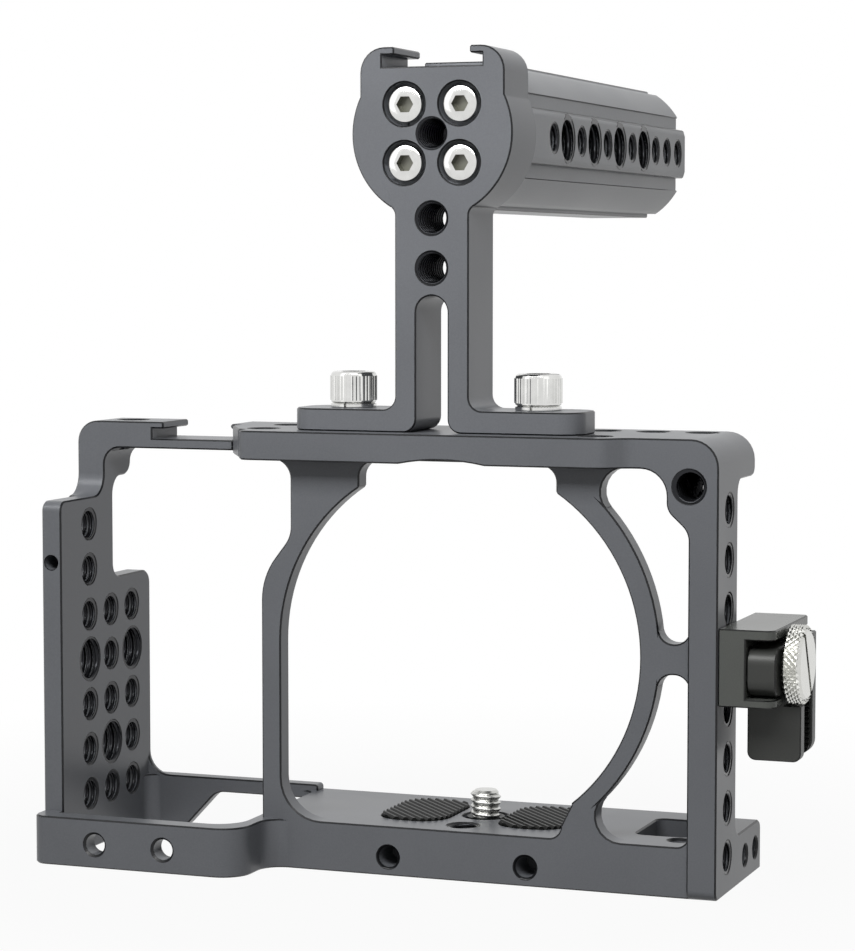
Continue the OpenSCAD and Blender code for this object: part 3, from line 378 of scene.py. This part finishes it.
def moulded_rubber(name, colour, roughness):
    """Moulded nitrile rubber: black, with a fine mould grain and a greyish bloom that
    catches light along the ribs."""
    # in mm; spark-eroded moulds leave pits of about 0.2, drawn at 0.4 so that they show
    pit_width, pit_depth, bloom_patch = 0.4167, 0.04, 4.545
    made = blank_material(name)
    tree = made.node_tree
    place = node(tree, "ShaderNodeTexCoord").outputs["Object"]
    pits = node(tree, "ShaderNodeTexNoise",
                {"Vector": place, "Scale": 1 / (pit_width * MM), "Detail": 2.0}).outputs["Fac"]
    bloom = node(tree, "ShaderNodeTexNoise",
                 {"Vector": place, "Scale": 1 / (bloom_patch * MM),
                  "Detail": 3.0}).outputs["Fac"]
    tone = node(tree, "ShaderNodeMapRange", {"Value": bloom, **NOISE_SPAN, "To Min": 0.8,
                                             "To Max": 1.25})
    shade = node(tree, "ShaderNodeVectorMath",
                 {0: linear(colour)[:3], "Scale": tone.outputs[0]}, operation="SCALE")
    pitted = node(tree, "ShaderNodeBump", {"Height": pits, "Strength": 0.3,
                                           "Distance": pit_depth * MM})
    skin = node(tree, "ShaderNodeBsdfPrincipled",
                {"Base Color": shade.outputs[0], "Roughness": roughness,
                 "Specular IOR Level": 0.12, "Normal": pitted.outputs[0]})
    node(tree, "ShaderNodeOutputMaterial", {"Surface": skin.outputs[0]})
    return made


rubber = moulded_rubber("nitrile_rubber_black", "#101110", 0.36)

# the ribs are taller than they stand on their sheet, so the pad's top cuts each crest flat
pad_ribs = {"Count": 26, "Pitch": 1.4 * MM, "Length": 40 * MM, "Half Width": 0.56 * MM,
            "Height": 0.95 * MM, "Centre": (0.0, 0.0, 0.0), "Turn": (0.0, 0.0, math.radians(43))}
rib_tree = bpy.data.node_groups.new("moulded_ribs", "GeometryNodeTree")
given = sized_inputs(rib_tree, pad_ribs)
steps = node(rib_tree, "ShaderNodeMath", {0: given["Count"], 1: 1.0}, operation="SUBTRACT")
span = node(rib_tree, "ShaderNodeMath", {0: steps.outputs[0], 1: given["Pitch"]},
            operation="MULTIPLY")
back = node(rib_tree, "ShaderNodeMath", {0: span.outputs[0], 1: -0.5}, operation="MULTIPLY")
first = node(rib_tree, "ShaderNodeCombineXYZ", {"X": back.outputs[0]})
pace = node(rib_tree, "ShaderNodeCombineXYZ", {"X": given["Pitch"]})
row = node(rib_tree, "GeometryNodeMeshLine",
           {"Count": given["Count"], "Start Location": first.outputs[0],
            "Offset": pace.outputs[0]})
bar = node(rib_tree, "GeometryNodeMeshCylinder",
           {"Vertices": 4, "Radius": given["Half Width"], "Depth": given["Length"]})
laid = node(rib_tree, "GeometryNodeTransform",
            {"Geometry": bar.outputs[0], "Rotation": (math.pi / 2, 0.0, 0.0)})
steeper = node(rib_tree, "ShaderNodeMath", {0: given["Height"], 1: given["Half Width"]},
               operation="DIVIDE")
stretch = node(rib_tree, "ShaderNodeCombineXYZ", {"X": 1.0, "Y": 1.0, "Z": steeper.outputs[0]})
rib = node(rib_tree, "GeometryNodeTransform",
           {"Geometry": laid.outputs[0], "Scale": stretch.outputs[0]})
ribs = node(rib_tree, "GeometryNodeInstanceOnPoints",
            {"Points": row.outputs[0], "Instance": rib.outputs[0]})
turned = node(rib_tree, "FunctionNodeEulerToRotation", {"Euler": given["Turn"]})
slanted = node(rib_tree, "GeometryNodeTransform",
               {"Geometry": ribs.outputs[0], "Translation": given["Centre"],
                "Rotation": turned.outputs[0]})
finish_tree(rib_tree, given, slanted.outputs[0])

PAD_Y, PAD_TOP, PAD_REACH = 1.0, 10.6, 20
# the ribs stand this high on their sheet, and are sunk a little in it
RIB_HEIGHT, RIB_SUNK = 0.6, 0.05
for side, pad_x in (("left", 3.6), ("right", 29.0)):
    pad = solid_of("rubber_pad_" + side)
    rib_centre = Vector((pad_x, PAD_Y, PAD_TOP - RIB_HEIGHT)) * MM
    ribs = grown(rib_tree, {**pad_ribs, "Centre": rib_centre}, rubber)
    top_layer = block((pad_x - PAD_REACH, -PAD_REACH, PAD_TOP - RIB_HEIGHT - RIB_SUNK),
                      (pad_x + PAD_REACH, PAD_REACH, PAD_TOP + 2 * RIB_HEIGHT))
    sheet = combined("DIFFERENCE", pad.copy(), top_layer)
    ribbed = combined("UNION", sheet, combined("INTERSECT", ribs, pad))
    piece("ribbed_pad_" + side, ribbed, "cage", "rubber", [rubber], "rubber_pad_" + side)

# Camera screw. A quarter-inch steel screw with a slotted head below, kept in the
# base by a snap ring, so it turns up into the camera's socket and can't be lost.


def turned_steel(name, colour, roughness, drawn=0.25):
    """Turned stainless steel: bright, with fine tool rings that spread the highlight."""
    # in mm; the tool's feed is about 0.1, drawn at 0.25 so that it shows
    feed_width, feed_depth, haze_patch = 0.25, 0.01, 2.857
    made = blank_material(name)
    tree = made.node_tree
    place = node(tree, "ShaderNodeTexCoord").outputs["Object"]
    feed = node(tree, "ShaderNodeTexNoise", {"Vector": place, "Scale": 1 / (feed_width * MM),
                                             "Detail": 1.0}).outputs["Fac"]
    haze = node(tree, "ShaderNodeTexNoise", {"Vector": place, "Scale": 1 / (haze_patch * MM),
                                             "Detail": 2.0}).outputs["Fac"]
    tone = node(tree, "ShaderNodeMapRange", {"Value": haze, **NOISE_SPAN, "To Min": 0.93,
                                             "To Max": 1.05})
    shade = node(tree, "ShaderNodeVectorMath",
                 {0: linear(colour)[:3], "Scale": tone.outputs[0]}, operation="SCALE")
    gloss = node(tree, "ShaderNodeMapRange", {"Value": haze, **NOISE_SPAN,
                                              "To Min": roughness * 0.75,
                                              "To Max": roughness * 1.3})
    tooled = node(tree, "ShaderNodeBump", {"Height": feed, "Strength": drawn,
                                           "Distance": feed_depth * MM})
    skin = node(tree, "ShaderNodeBsdfPrincipled",
                {"Base Color": shade.outputs[0], "Metallic": 1.0, "Roughness": gloss.outputs[0],
                 "Normal": tooled.outputs[0]})
    node(tree, "ShaderNodeOutputMaterial", {"Surface": skin.outputs[0]})
    return made


def turned_solid(profile, place=(0.0, 0.0, 0.0), axis=Z, steps=64):
    """A closed solid turned from a profile of (radius, height) in mm, which starts and
    ends on the axis, through a place in mm."""
    sharp_from = 32
    shape = bmesh.new()
    rings = []
    for radius, height in profile:
        count = 1 if radius == 0 else steps
        ring = []
        for i in range(count):
            angle = 2 * math.pi * i / steps
            across = [radius * math.cos(angle), radius * math.sin(angle)]
            across.insert(axis, height)
            ring.append(shape.verts.new([(across[k] + place[k]) * MM for k in range(3)]))
        rings.append(ring)
    for low, high in zip(rings, rings[1:]):
        for i in range(steps):
            corners = [low[i % len(low)], low[(i + 1) % len(low)],
                       high[(i + 1) % len(high)], high[i % len(high)]]
            corners = list(dict.fromkeys(corners))
            if len(corners) > 2:
                shape.faces.new(corners)
    bmesh.ops.recalc_face_normals(shape, faces=shape.faces)
    for face in shape.faces:
        face.smooth = True
    mesh = bpy.data.meshes.new("turned")
    shape.to_mesh(mesh)
    shape.free()
    mesh.set_sharp_from_angle(angle=math.radians(sharp_from))
    return mesh


def sharpened(mesh):
    """Smooth shading that breaks at the mesh's real edges."""
    for face in mesh.polygons:
        face.use_smooth = True
    mesh.set_sharp_from_angle(angle=math.radians(SHARP_FROM))
    return mesh


def repeated(name, tree, sizes, material, body, slot, places):
    """A piece that a geometry tree grows at places in mm."""
    return piece(name, grown(tree, sizes, material, places), body, slot, [material])


# bright, with a slight haze from the tool
bright_steel = turned_steel("stainless_steel_turned", "#C9C9C6", 0.22)
# in mm: the screw's place and tip, its head, its shank with the ring's groove, its threaded
# core and tip, and the slot for a driver
screw_x, screw_y, screw_tip = 16.9, 0.5, 15.4
head_low, head_high, head_radius, head_bevel = 2.4, 4.45, 6.25, 0.35
shank_radius, groove_radius, groove_low, groove_high = 3.17, 2.7, 9.1, 10.0
core_radius, core_low, tip_radius, tip_bevel = 2.62, 10.1, 2.2, 0.45
slot_half, slot_low, slot_high, slot_reach = 0.8, 1, 3.4, 8
shank = turned_solid([(0, head_low), (head_radius - head_bevel, head_low),
                      (head_radius, head_low + head_bevel), (head_radius, head_high - head_bevel),
                      (head_radius - head_bevel, head_high), (shank_radius, head_high),
                      (shank_radius, groove_low), (groove_radius, groove_low),
                      (groove_radius, groove_high), (core_radius, core_low),
                      (core_radius, screw_tip - tip_bevel), (tip_radius, screw_tip),
                      (0, screw_tip)], (screw_x, screw_y, 0))
driver_slot = block((screw_x - slot_reach, screw_y - slot_half, slot_low),
                    (screw_x + slot_reach, screw_y + slot_half, slot_high))
piece("camera_screw_shank", sharpened(combined("DIFFERENCE", shank, driver_slot)),
      "camera_screw", "screw_steel", [bright_steel], "camera_screw")
thread_low = 10.2
repeated("camera_screw_thread", thread_tree, camera_thread, bright_steel, "camera_screw",
         "screw_steel", [(screw_x, screw_y, thread_low)])
# spring steel keeps the dark oxide of its hardening, with a dull shine
blackened = turned_steel("spring_steel_blackened", "#1E1F20", 0.4)
snap_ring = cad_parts["camera_screw_clip"]
snap_ring.data.materials.clear()
snap_ring.data.materials.append(blackened)

# Handle stand. It is milled from one plate of the same aluminium: a foot, a column
# with a slot and tapped holes, and a round head with an accessory slot on top.
STAND_X, GRIP_Z = 11.7, 148.1
STAND_WALL, STAND_CUT = (-17.5, -2.7), 0.3
column_small, head_small = [(STAND_X, 121.7), (STAND_X, 131.5)], [(STAND_X, GRIP_Z)]
# a shade lighter than the frame: painted light, for the brighter light that falls on the parts
# higher up
stand_aluminium_painted_light = anodised_aluminium("anodised_aluminium_stand_painted_light", "#65676B", 0.33)
stand_nodes = ("handle_foot", "handle_column", "handle_head")
stand = combined("UNION", *[solid_of(name) for name in stand_nodes])
piece("stand", chamfered(stand, STAND_CUT, (MOUTH_CUT, mouths(Y, QUARTER, column_small))),
      "cage", "alloy", [stand_aluminium_painted_light, edge_painted_shade], *stand_nodes)
# these deep holes have a blunter thread
BLUNT_THREAD = (QUARTER, QUARTER_PITCH, 0.3, 0.4)
tapped_holes("threads_column", Y, STAND_WALL, column_small, BLUNT_THREAD)
tapped_holes("threads_head", Y, STAND_WALL, head_small, BLUNT_THREAD)

# Foot bolts. Two polished quarter-inch socket bolts hold the stand, each with a
# straight-knurled head and a split spring washer under it.
head_knurl = {"Count": 40, "Radius": 4.52 * MM, "Height": 4.9 * MM, "Half Width": 0.26 * MM}
knurl_tree = bpy.data.node_groups.new("straight_knurl", "GeometryNodeTree")
given = sized_inputs(knurl_tree, head_knurl)
rim = node(knurl_tree, "GeometryNodeMeshCircle", {"Vertices": given["Count"],
                                                  "Radius": given["Radius"]})
place = node(knurl_tree, "GeometryNodeInputPosition")
facing = node(knurl_tree, "FunctionNodeAlignRotationToVector",
              {"Vector": place.outputs[0]}, axis="X", pivot_axis="Z")
bar = node(knurl_tree, "GeometryNodeMeshCylinder",
           {"Vertices": 6, "Radius": given["Half Width"], "Depth": given["Height"]})
bars = node(knurl_tree, "GeometryNodeInstanceOnPoints",
            {"Points": rim.outputs[0], "Instance": bar.outputs[0],
             "Rotation": facing.outputs[0]})
heads = node(knurl_tree, "GeometryNodeInstanceOnPoints",
             {"Points": given["Geometry"], "Instance": bars.outputs[0]})
finish_tree(knurl_tree, given, heads.outputs[0])


def hexagon(place, axis, flats, start, end):
    """A six-sided prism along an axis, for cutting a key socket, in mm."""
    corner = flats / math.sqrt(3)
    return turned_solid([(0, start), (corner, start), (corner, end), (0, end)], place, axis,
                        steps=6)


def turned_ring(inner, outer, start, end, place):
    """A flat ring, in mm."""
    over = 1
    return combined("DIFFERENCE",
                    turned_solid([(0, start), (outer, start), (outer, end), (0, end)], place),
                    turned_solid([(0, start - over), (inner, start - over),
                                  (inner, end + over), (0, end + over)], place))


# polishing leaves almost no tool rings, so these mirror the white studio
polished = turned_steel("stainless_steel_polished", "#DADAD8", 0.13, 0.12)
# in mm: the bolts' places and the foot and top of their heads, then the shank and the head
BOLT_X, BOLT_Y, HEAD_LOW, HEAD_HIGH = (-7.95, 31.35), -9.7, 94.6, 100.95
bolt_end, bolt_radius, bolt_bevel = 83.8, 3.0, 0.4
bolt_head, head_foot, head_rise = 4.62, 4.2, 0.35
# the rounded crown of the head, in steps inwards and down from its corner
crown = ((0, 0.75), (0.12, 0.35), (0.42, 0.08), (0.72, 0))
key_flats, key_depth, key_over = 4.76, 3, 1
bolts = []
for x in BOLT_X:
    bolt = turned_solid([(0, bolt_end), (bolt_radius - bolt_bevel, bolt_end),
                         (bolt_radius, bolt_end + bolt_bevel), (bolt_radius, HEAD_LOW),
                         (head_foot, HEAD_LOW), (bolt_head, HEAD_LOW + head_rise)]
                        + [(bolt_head - inwards, HEAD_HIGH - down) for inwards, down in crown]
                        + [(0, HEAD_HIGH)], (x, BOLT_Y, 0))
    bolts.append(combined("DIFFERENCE", bolt,
                          hexagon((x, BOLT_Y, 0), Z, key_flats, HEAD_HIGH - key_depth,
                                  HEAD_HIGH + key_over)))
piece("foot_bolts", sharpened(combined("UNION", *bolts)), "cage", "bolt_steel", [polished],
      "handle_bolts")
# the knurl leaves more of the head plain at its top than at its foot
knurl_drop = 0.15
knurl_z = (HEAD_LOW + HEAD_HIGH) / 2 - knurl_drop
repeated("foot_bolt_knurls", knurl_tree, head_knurl, polished, "cage", "bolt_steel",
         [(x, BOLT_Y, knurl_z) for x in BOLT_X])
washer_inner, washer_outer, washer_low, washer_cut = 3.3, 4.65, 93.7, 0.18
# the split runs through the washer's front
split_half, split_front, split_back, split_low, split_high = 0.25, 6, 2, 93, 95
washers = []
for x in BOLT_X:
    ring = turned_ring(washer_inner, washer_outer, washer_low, HEAD_LOW, (x, BOLT_Y, 0))
    split = block((x - split_half, BOLT_Y - split_front, split_low),
                  (x + split_half, BOLT_Y - split_back, split_high))
    washers.append(combined("DIFFERENCE", chamfered(ring, washer_cut), split))
piece("spring_washers", sharpened(combined("UNION", *washers)), "cage", "bolt_steel", [polished],
      "handle_washers")

# Grip. A thick aluminium tube with four rails milled along it, tapped through both
# side rails, and anodised a shade lighter than the frame.
GRIP_FIRST, GRIP_STEP = 11.0, 9.25
grip_small = [(GRIP_FIRST + GRIP_STEP * i, GRIP_Z) for i in (0, 2, 4, 6, 8, 9, 10)]
grip_large = [(GRIP_FIRST + GRIP_STEP * i, GRIP_Z) for i in (1, 3, 5, 7)]
GRIP_CUT, GRIP_MOUTH_CUT = 0.25, 0.3
# the grip's faces are a lighter grey that lifts them from the stand's head
grip_aluminium = anodised_aluminium("anodised_aluminium_grip", "#7A7C80", 0.34)
piece("grip_tube", chamfered(solid_of("handle_grip"), GRIP_CUT,
                             (GRIP_MOUTH_CUT, mouths(X, QUARTER, grip_small)),
                             (LARGE_CUT, mouths(X, LARGE, grip_large))),
      "cage", "grip_alloy", [grip_aluminium, edge_painted_shade], "handle_grip")
for side, rail in (("left", (-4.4, 0.7)), ("right", (22.7, 27.8))):
    tapped_holes("threads_grip_small_" + side, X, rail, grip_small, slot="grip_alloy")
    tapped_holes("threads_grip_large_" + side, X, rail, grip_large, LARGE_THREAD,
                 slot="grip_alloy")

# Grip screws. Four M4 socket screws pull the grip against the stand's head. They are
# bright stainless steel, sunk in counterbores.

# broaching leaves a socket rough and dull inside, and its faces are painted a darker grey as
# painted shade for the inside of the socket, so it reads as a grey hexagon
socket_painted_shade = turned_steel("stainless_steel_socket_painted_shade", "#77776F", 0.35)
# in mm: each screw's distance from the grip's middle both ways, its head, shank and socket
SCREW_OUT, SCREW_FRONT, SCREW_BACK, SCREW_HEAD = 5.75, -17.1, -14.5, 3.5
m4_radius, m4_tip_radius, m4_tip, m4_end = 1.95, 1.5, 5.2, 5.5
socket_flats, socket_floor, socket_over = 3.1, -14.9, -18
# the rounded front edge of the head, in steps inwards and back from its corner
front_edge = ((0.4, 0), (0.08, 0.15), (0, 0.4))
screws = []
for dx in (-SCREW_OUT, SCREW_OUT):
    for dz in (-SCREW_OUT, SCREW_OUT):
        spot = (STAND_X + dx, 0, GRIP_Z + dz)
        body = turned_solid([(0, SCREW_FRONT)]
                            + [(SCREW_HEAD - inwards, SCREW_FRONT + back)
                               for inwards, back in front_edge]
                            + [(SCREW_HEAD, SCREW_BACK), (m4_radius, SCREW_BACK),
                               (m4_radius, m4_tip), (m4_tip_radius, m4_end), (0, m4_end)],
                            spot, Y)
        screws.append(combined("DIFFERENCE", body,
                               hexagon(spot, Y, socket_flats, socket_over, socket_floor)))
screw_set = sharpened(combined("UNION", *screws))
# the faces inside a socket take the painted shade
near = 0.05
socket_reach = socket_flats / math.sqrt(3) + near
for face in screw_set.polygons:
    x, y, z = [c / MM for c in face.center]
    off_centre = math.hypot(abs(x - STAND_X) - SCREW_OUT, abs(z - GRIP_Z) - SCREW_OUT)
    if y > SCREW_FRONT + near and off_centre < socket_reach:
        face.material_index = 1
piece("grip_screw_set", screw_set, "cage", "screw_steel", [polished, socket_painted_shade], "grip_screws")

# Cable clamp. A milled bracket is screwed to the side plate and carries a fixed rear
# jaw. The front jaw slides under the knob, and both jaws have toothed rubber faces.

# the clamp is dyed nearly black with a warm cast; its jaws are duller, and painted darker as
# painted shade for where they sit back behind the bracket
clamp_aluminium = anodised_aluminium("anodised_aluminium_clamp", "#50524F", 0.27)
jaw_painted_shade = anodised_aluminium("anodised_aluminium_jaw_painted_shade", "#383937", 0.38)
# the clamp's chamfers are painted near-black: painted shade for the dark reflection along each
# edge
clamp_edge_painted_shade = anodised_aluminium("anodised_aluminium_clamp_edge_painted_shade", "#1A1B1A", 0.3)
CLAMP_CUT = 0.25
for name, source, body, skin in (
        ("clamp_body", "clamp_bracket", "cage", clamp_aluminium),
        ("clamp_rear", "clamp_rear_jaw", "cage", jaw_painted_shade),
        ("clamp_front", "clamp_jaw", "clamp_front_jaw", jaw_painted_shade)):
    piece(name, chamfered(solid_of(source), CLAMP_CUT), body, "clamp_alloy",
          [skin, clamp_edge_painted_shade], source)
# in mm: the teeth's middle and height, and the space round a facing
TEETH_X, TEETH_Z, TOOTH_HEIGHT, TOOTH_SUNK = 79.6, 32.0, 0.35, 0.05
FACING_X, FACING_Z, FACING_DEEP = (70, 90), (20, 45), 3
teeth_sizes = {"Count": 14, "Pitch": 1.0 * MM, "Length": 16 * MM, "Half Width": 0.45 * MM,
               "Height": TOOTH_HEIGHT * MM, "Turn": (math.pi / 2, math.pi / 2, 0.0)}
# each facing's toothed face, and which way its rubber lies from there
for side, toothed, into, body in (("front", -6.5, -1, "clamp_front_jaw"),
                                  ("rear", -1.7, 1, "cage")):
    name = "clamp_" + side + "_pad"
    pad = solid_of(name)
    teeth_centre = Vector((TEETH_X, toothed + TOOTH_HEIGHT * into, TEETH_Z)) * MM
    teeth = grown(rib_tree, {**teeth_sizes, "Centre": teeth_centre}, rubber)
    near_y, far_y = sorted((toothed + (TOOTH_HEIGHT + TOOTH_SUNK) * into,
                            toothed - FACING_DEEP * into))
    sheet = combined("DIFFERENCE", pad.copy(), block((FACING_X[0], near_y, FACING_Z[0]),
                                                     (FACING_X[1], far_y, FACING_Z[1])))
    topped = combined("UNION", sheet, combined("INTERSECT", teeth, pad))
    piece("toothed_pad_" + side, topped, body, "rubber", [rubber], name)

# Clamp screws. The knurled steel knob drives an M4 screw through the front jaw, and a
# headless screw and a pin, seen through the side plate's hole, hold the bracket.
rim_diamonds = {"Around": 36, "Rows": 5, "Radius": 7.15 * MM, "Pitch": 0.6 * MM,
                "Size": 0.62 * MM, "Height": 0.6 * MM}
diamond_tree = bpy.data.node_groups.new("diamond_knurl", "GeometryNodeTree")
given = sized_inputs(diamond_tree, rim_diamonds)
total = node(diamond_tree, "ShaderNodeMath", {0: given["Around"], 1: given["Rows"]},
             operation="MULTIPLY")
spots = node(diamond_tree, "GeometryNodeMeshLine", {"Count": total.outputs[0]})
index = node(diamond_tree, "GeometryNodeInputIndex")
share = node(diamond_tree, "ShaderNodeMath", {0: index.outputs[0], 1: given["Around"]},
             operation="DIVIDE")
row = node(diamond_tree, "ShaderNodeMath", {0: share.outputs[0]}, operation="FLOOR")
# each row is turned half a diamond further than the last
half = node(diamond_tree, "ShaderNodeMath", {0: row.outputs[0], 1: 0.5}, operation="MULTIPLY")
turn = node(diamond_tree, "ShaderNodeMath", {0: index.outputs[0], 1: half.outputs[0]},
            operation="ADD")
part = node(diamond_tree, "ShaderNodeMath", {0: turn.outputs[0], 1: given["Around"]},
            operation="DIVIDE")
angle = node(diamond_tree, "ShaderNodeMath", {0: part.outputs[0], 1: 2 * math.pi},
             operation="MULTIPLY")
across = node(diamond_tree, "ShaderNodeMath", {0: angle.outputs[0]}, operation="COSINE")
up = node(diamond_tree, "ShaderNodeMath", {0: angle.outputs[0]}, operation="SINE")
along = node(diamond_tree, "ShaderNodeMath", {0: row.outputs[0], 1: given["Pitch"]},
             operation="MULTIPLY")
radial = node(diamond_tree, "ShaderNodeCombineXYZ", {"Y": across.outputs[0],
                                                     "Z": up.outputs[0]})
rim = node(diamond_tree, "ShaderNodeVectorMath", {0: radial.outputs[0],
                                                  "Scale": given["Radius"]}, operation="SCALE")
offset = node(diamond_tree, "ShaderNodeCombineXYZ", {"X": along.outputs[0]})
spot = node(diamond_tree, "ShaderNodeVectorMath", {0: rim.outputs[0], 1: offset.outputs[0]},
            operation="ADD")
laid = node(diamond_tree, "GeometryNodeSetPosition", {"Geometry": spots.outputs[0],
                                                      "Position": spot.outputs[0]})
facing = node(diamond_tree, "FunctionNodeAxesToRotation",
              {"Primary Axis": radial.outputs[0], "Secondary Axis": (1.0, 0.0, 0.0)},
              primary_axis="Z", secondary_axis="X")
pyramid = node(diamond_tree, "GeometryNodeMeshCone",
               {"Vertices": 4, "Radius Top": 0.0, "Radius Bottom": given["Size"],
                "Depth": given["Height"]}, fill_type="NONE")
studs = node(diamond_tree, "GeometryNodeInstanceOnPoints",
             {"Points": laid.outputs[0], "Instance": pyramid.outputs[0],
              "Rotation": facing.outputs[0]})
knobs = node(diamond_tree, "GeometryNodeInstanceOnPoints",
             {"Points": given["Geometry"], "Instance": studs.outputs[0]})
finish_tree(diamond_tree, given, knobs.outputs[0])

KNOB_Y, KNOB_Z, KNOB_INNER, KNOB_OUTER, KNOB_RADIUS = -8.5, 45.6, 82.2, 85.8, 6.95
# bevels of the inner and the outer rim, and the plain margin before the knurl, in mm
inner_in, inner_rise, outer_bevel, rim_margin = 0.35, 0.3, 0.55, 0.5
# a fine satin steel whose knurl breaks the light into bright and dark diamonds
knob_steel = turned_steel("stainless_steel_knurled", "#CFCFCB", 0.24)
knob = turned_solid([(0, KNOB_INNER), (KNOB_RADIUS - inner_in, KNOB_INNER),
                     (KNOB_RADIUS, KNOB_INNER + inner_rise),
                     (KNOB_RADIUS, KNOB_OUTER - outer_bevel),
                     (KNOB_RADIUS - outer_bevel, KNOB_OUTER), (0, KNOB_OUTER)],
                    (0, KNOB_Y, KNOB_Z), axis=X, steps=72)
knob_slot_half, knob_slot_reach, knob_slot_deep, knob_slot_over = 0.6, 8, 1.0, 1.2
knob_slot_turn = math.radians(25)
coin_slot = block((KNOB_OUTER - knob_slot_deep, KNOB_Y - knob_slot_half,
                   KNOB_Z - knob_slot_reach),
                  (KNOB_OUTER + knob_slot_over, KNOB_Y + knob_slot_half,
                   KNOB_Z + knob_slot_reach))
pivot = Vector((0, KNOB_Y, KNOB_Z)) * MM
coin_slot.transform(Matrix.Translation(pivot) @ Matrix.Rotation(knob_slot_turn, 4, "X")
                    @ Matrix.Translation(-pivot))
piece("knob", sharpened(combined("DIFFERENCE", knob, coin_slot)), "clamp_knob", "knob_steel",
      [knob_steel], "clamp_knob")
first_row = KNOB_INNER + rim_margin
repeated("knob_knurl", diamond_tree, rim_diamonds, knob_steel, "clamp_knob", "knob_steel",
         [(first_row, KNOB_Y, KNOB_Z)])
for name, made in (("clamp_screw", bright_steel), ("clamp_washer", blackened),
                   ("clamp_mount_screw", blackened), ("clamp_locating_pin", bright_steel)):
    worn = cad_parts[name]
    worn.data.materials.clear()
    worn.data.materials.append(made)

# Floor, studio light and camera. A white sweep fills the view, large soft lamps stand
# over and beside it, and the camera has the photograph's angle and lens.
# in metres, so that its edge lies far past the view
FLOOR_HALF = 40
floor_mesh = bpy.data.meshes.new("studio_floor")
floor_mesh.from_pydata([(x * FLOOR_HALF, y * FLOOR_HALF, 0)
                        for x, y in ((-1, -1), (1, -1), (1, 1), (-1, 1))], [],
                       [(0, 1, 2, 3)])
floor = new_object("studio_floor", floor_mesh)


def seen_rays(tree):
    """1 for the rays that show the background: to the camera, or by way of metal or glass."""
    path = node(tree, "ShaderNodeLightPath")
    seen = node(tree, "ShaderNodeMath", {0: path.outputs["Is Camera Ray"],
                                         1: path.outputs["Is Glossy Ray"]}, operation="MAXIMUM")
    return node(tree, "ShaderNodeMath", {0: seen.outputs[0],
                                         1: path.outputs["Is Transmission Ray"]},
                operation="MAXIMUM").outputs[0]


# matt paper: grey to the light that it throws back, and white to the camera
paper = blank_material("paper_white")
tree = paper.node_tree
matt = node(tree, "ShaderNodeBsdfDiffuse", {"Color": linear("#666664")})
white = node(tree, "ShaderNodeEmission", {"Color": linear("#FFFFFF"), "Strength": 1.0})
# the sheet turns pure white away from the object and keeps its shadow near it
apart = node(tree, "ShaderNodeVectorMath",
             {0: node(tree, "ShaderNodeTexCoord").outputs["Object"]}, operation="LENGTH")
glow = node(tree, "ShaderNodeMapRange", {"Value": apart.outputs["Value"], "From Min": 0.08,
                                         "From Max": 0.22, "To Min": 0.95, "To Max": 1.0})
lit = node(tree, "ShaderNodeMath", {0: seen_rays(tree), 1: glow.outputs[0]},
           operation="MULTIPLY")
mixed = node(tree, "ShaderNodeMixShader", {0: lit.outputs[0], 1: matt.outputs[0],
                                           2: white.outputs[0]})
node(tree, "ShaderNodeOutputMaterial", {"Surface": mixed.outputs[0]})
floor_mesh.materials.append(paper)

# the room lights the object dimly, and shows white to the camera and in metal
world = bpy.data.worlds.new("studio")
scene.world = world
world.use_nodes = True
tree = world.node_tree
tree.nodes.clear()
fill = node(tree, "ShaderNodeMapRange", {"Value": seen_rays(tree), "To Min": 0.09,
                                         "To Max": 1.0})
sky = node(tree, "ShaderNodeBackground", {"Color": linear("#FFFFFF"),
                                          "Strength": fill.outputs[0]})
node(tree, "ShaderNodeOutputWorld", {"Surface": sky.outputs[0]})

# soft boxes that face their targets, in metres and watts
for name, place, target, width, height, power in (
        ("lamp_over", (0.0, -0.34, 0.42), (0.0, 0.0, 0.2), 0.6, 0.2, 3.5),
        ("lamp_left", (-0.5, -0.6, 0.35), (0.0, 0.0, 0.1), 0.3, 0.6, 0.35),
        ("lamp_right", (0.5, -0.3, 0.35), (0.0, 0.0, 0.1), 0.3, 0.5, 0.2)):
    lamp = bpy.data.lights.new(name, "AREA")
    lamp.shape, lamp.size, lamp.size_y, lamp.energy = "RECTANGLE", width, height, power
    soft_box = new_object(name, lamp)
    soft_box.location = place
    soft_box.rotation_mode = "QUATERNION"
    soft_box.rotation_quaternion = (Vector(target) - Vector(place)).to_track_quat("-Z", "Y")

camera = bpy.data.cameras.new("camera")
camera.lens, camera.sensor_width, camera.sensor_fit = 110.1, 36.0, "AUTO"
camera.clip_start, camera.clip_end = 0.02, 200.0
# in mm, and how far it is turned to its left and looks down
camera_place = (212.213, -554.694, 123.034)
turned_left, down = math.radians(20.545), math.radians(4.209)
view = new_object("camera", camera)
view.location = Vector(camera_place) * MM
view.rotation_mode = "QUATERNION"
view.rotation_quaternion = Vector((-math.sin(turned_left) * math.cos(down),
                                   math.cos(turned_left) * math.cos(down),
                                   -math.sin(down))).to_track_quat("-Z", "Y")
scene.camera = view
scene.view_settings.view_transform = "Standard"
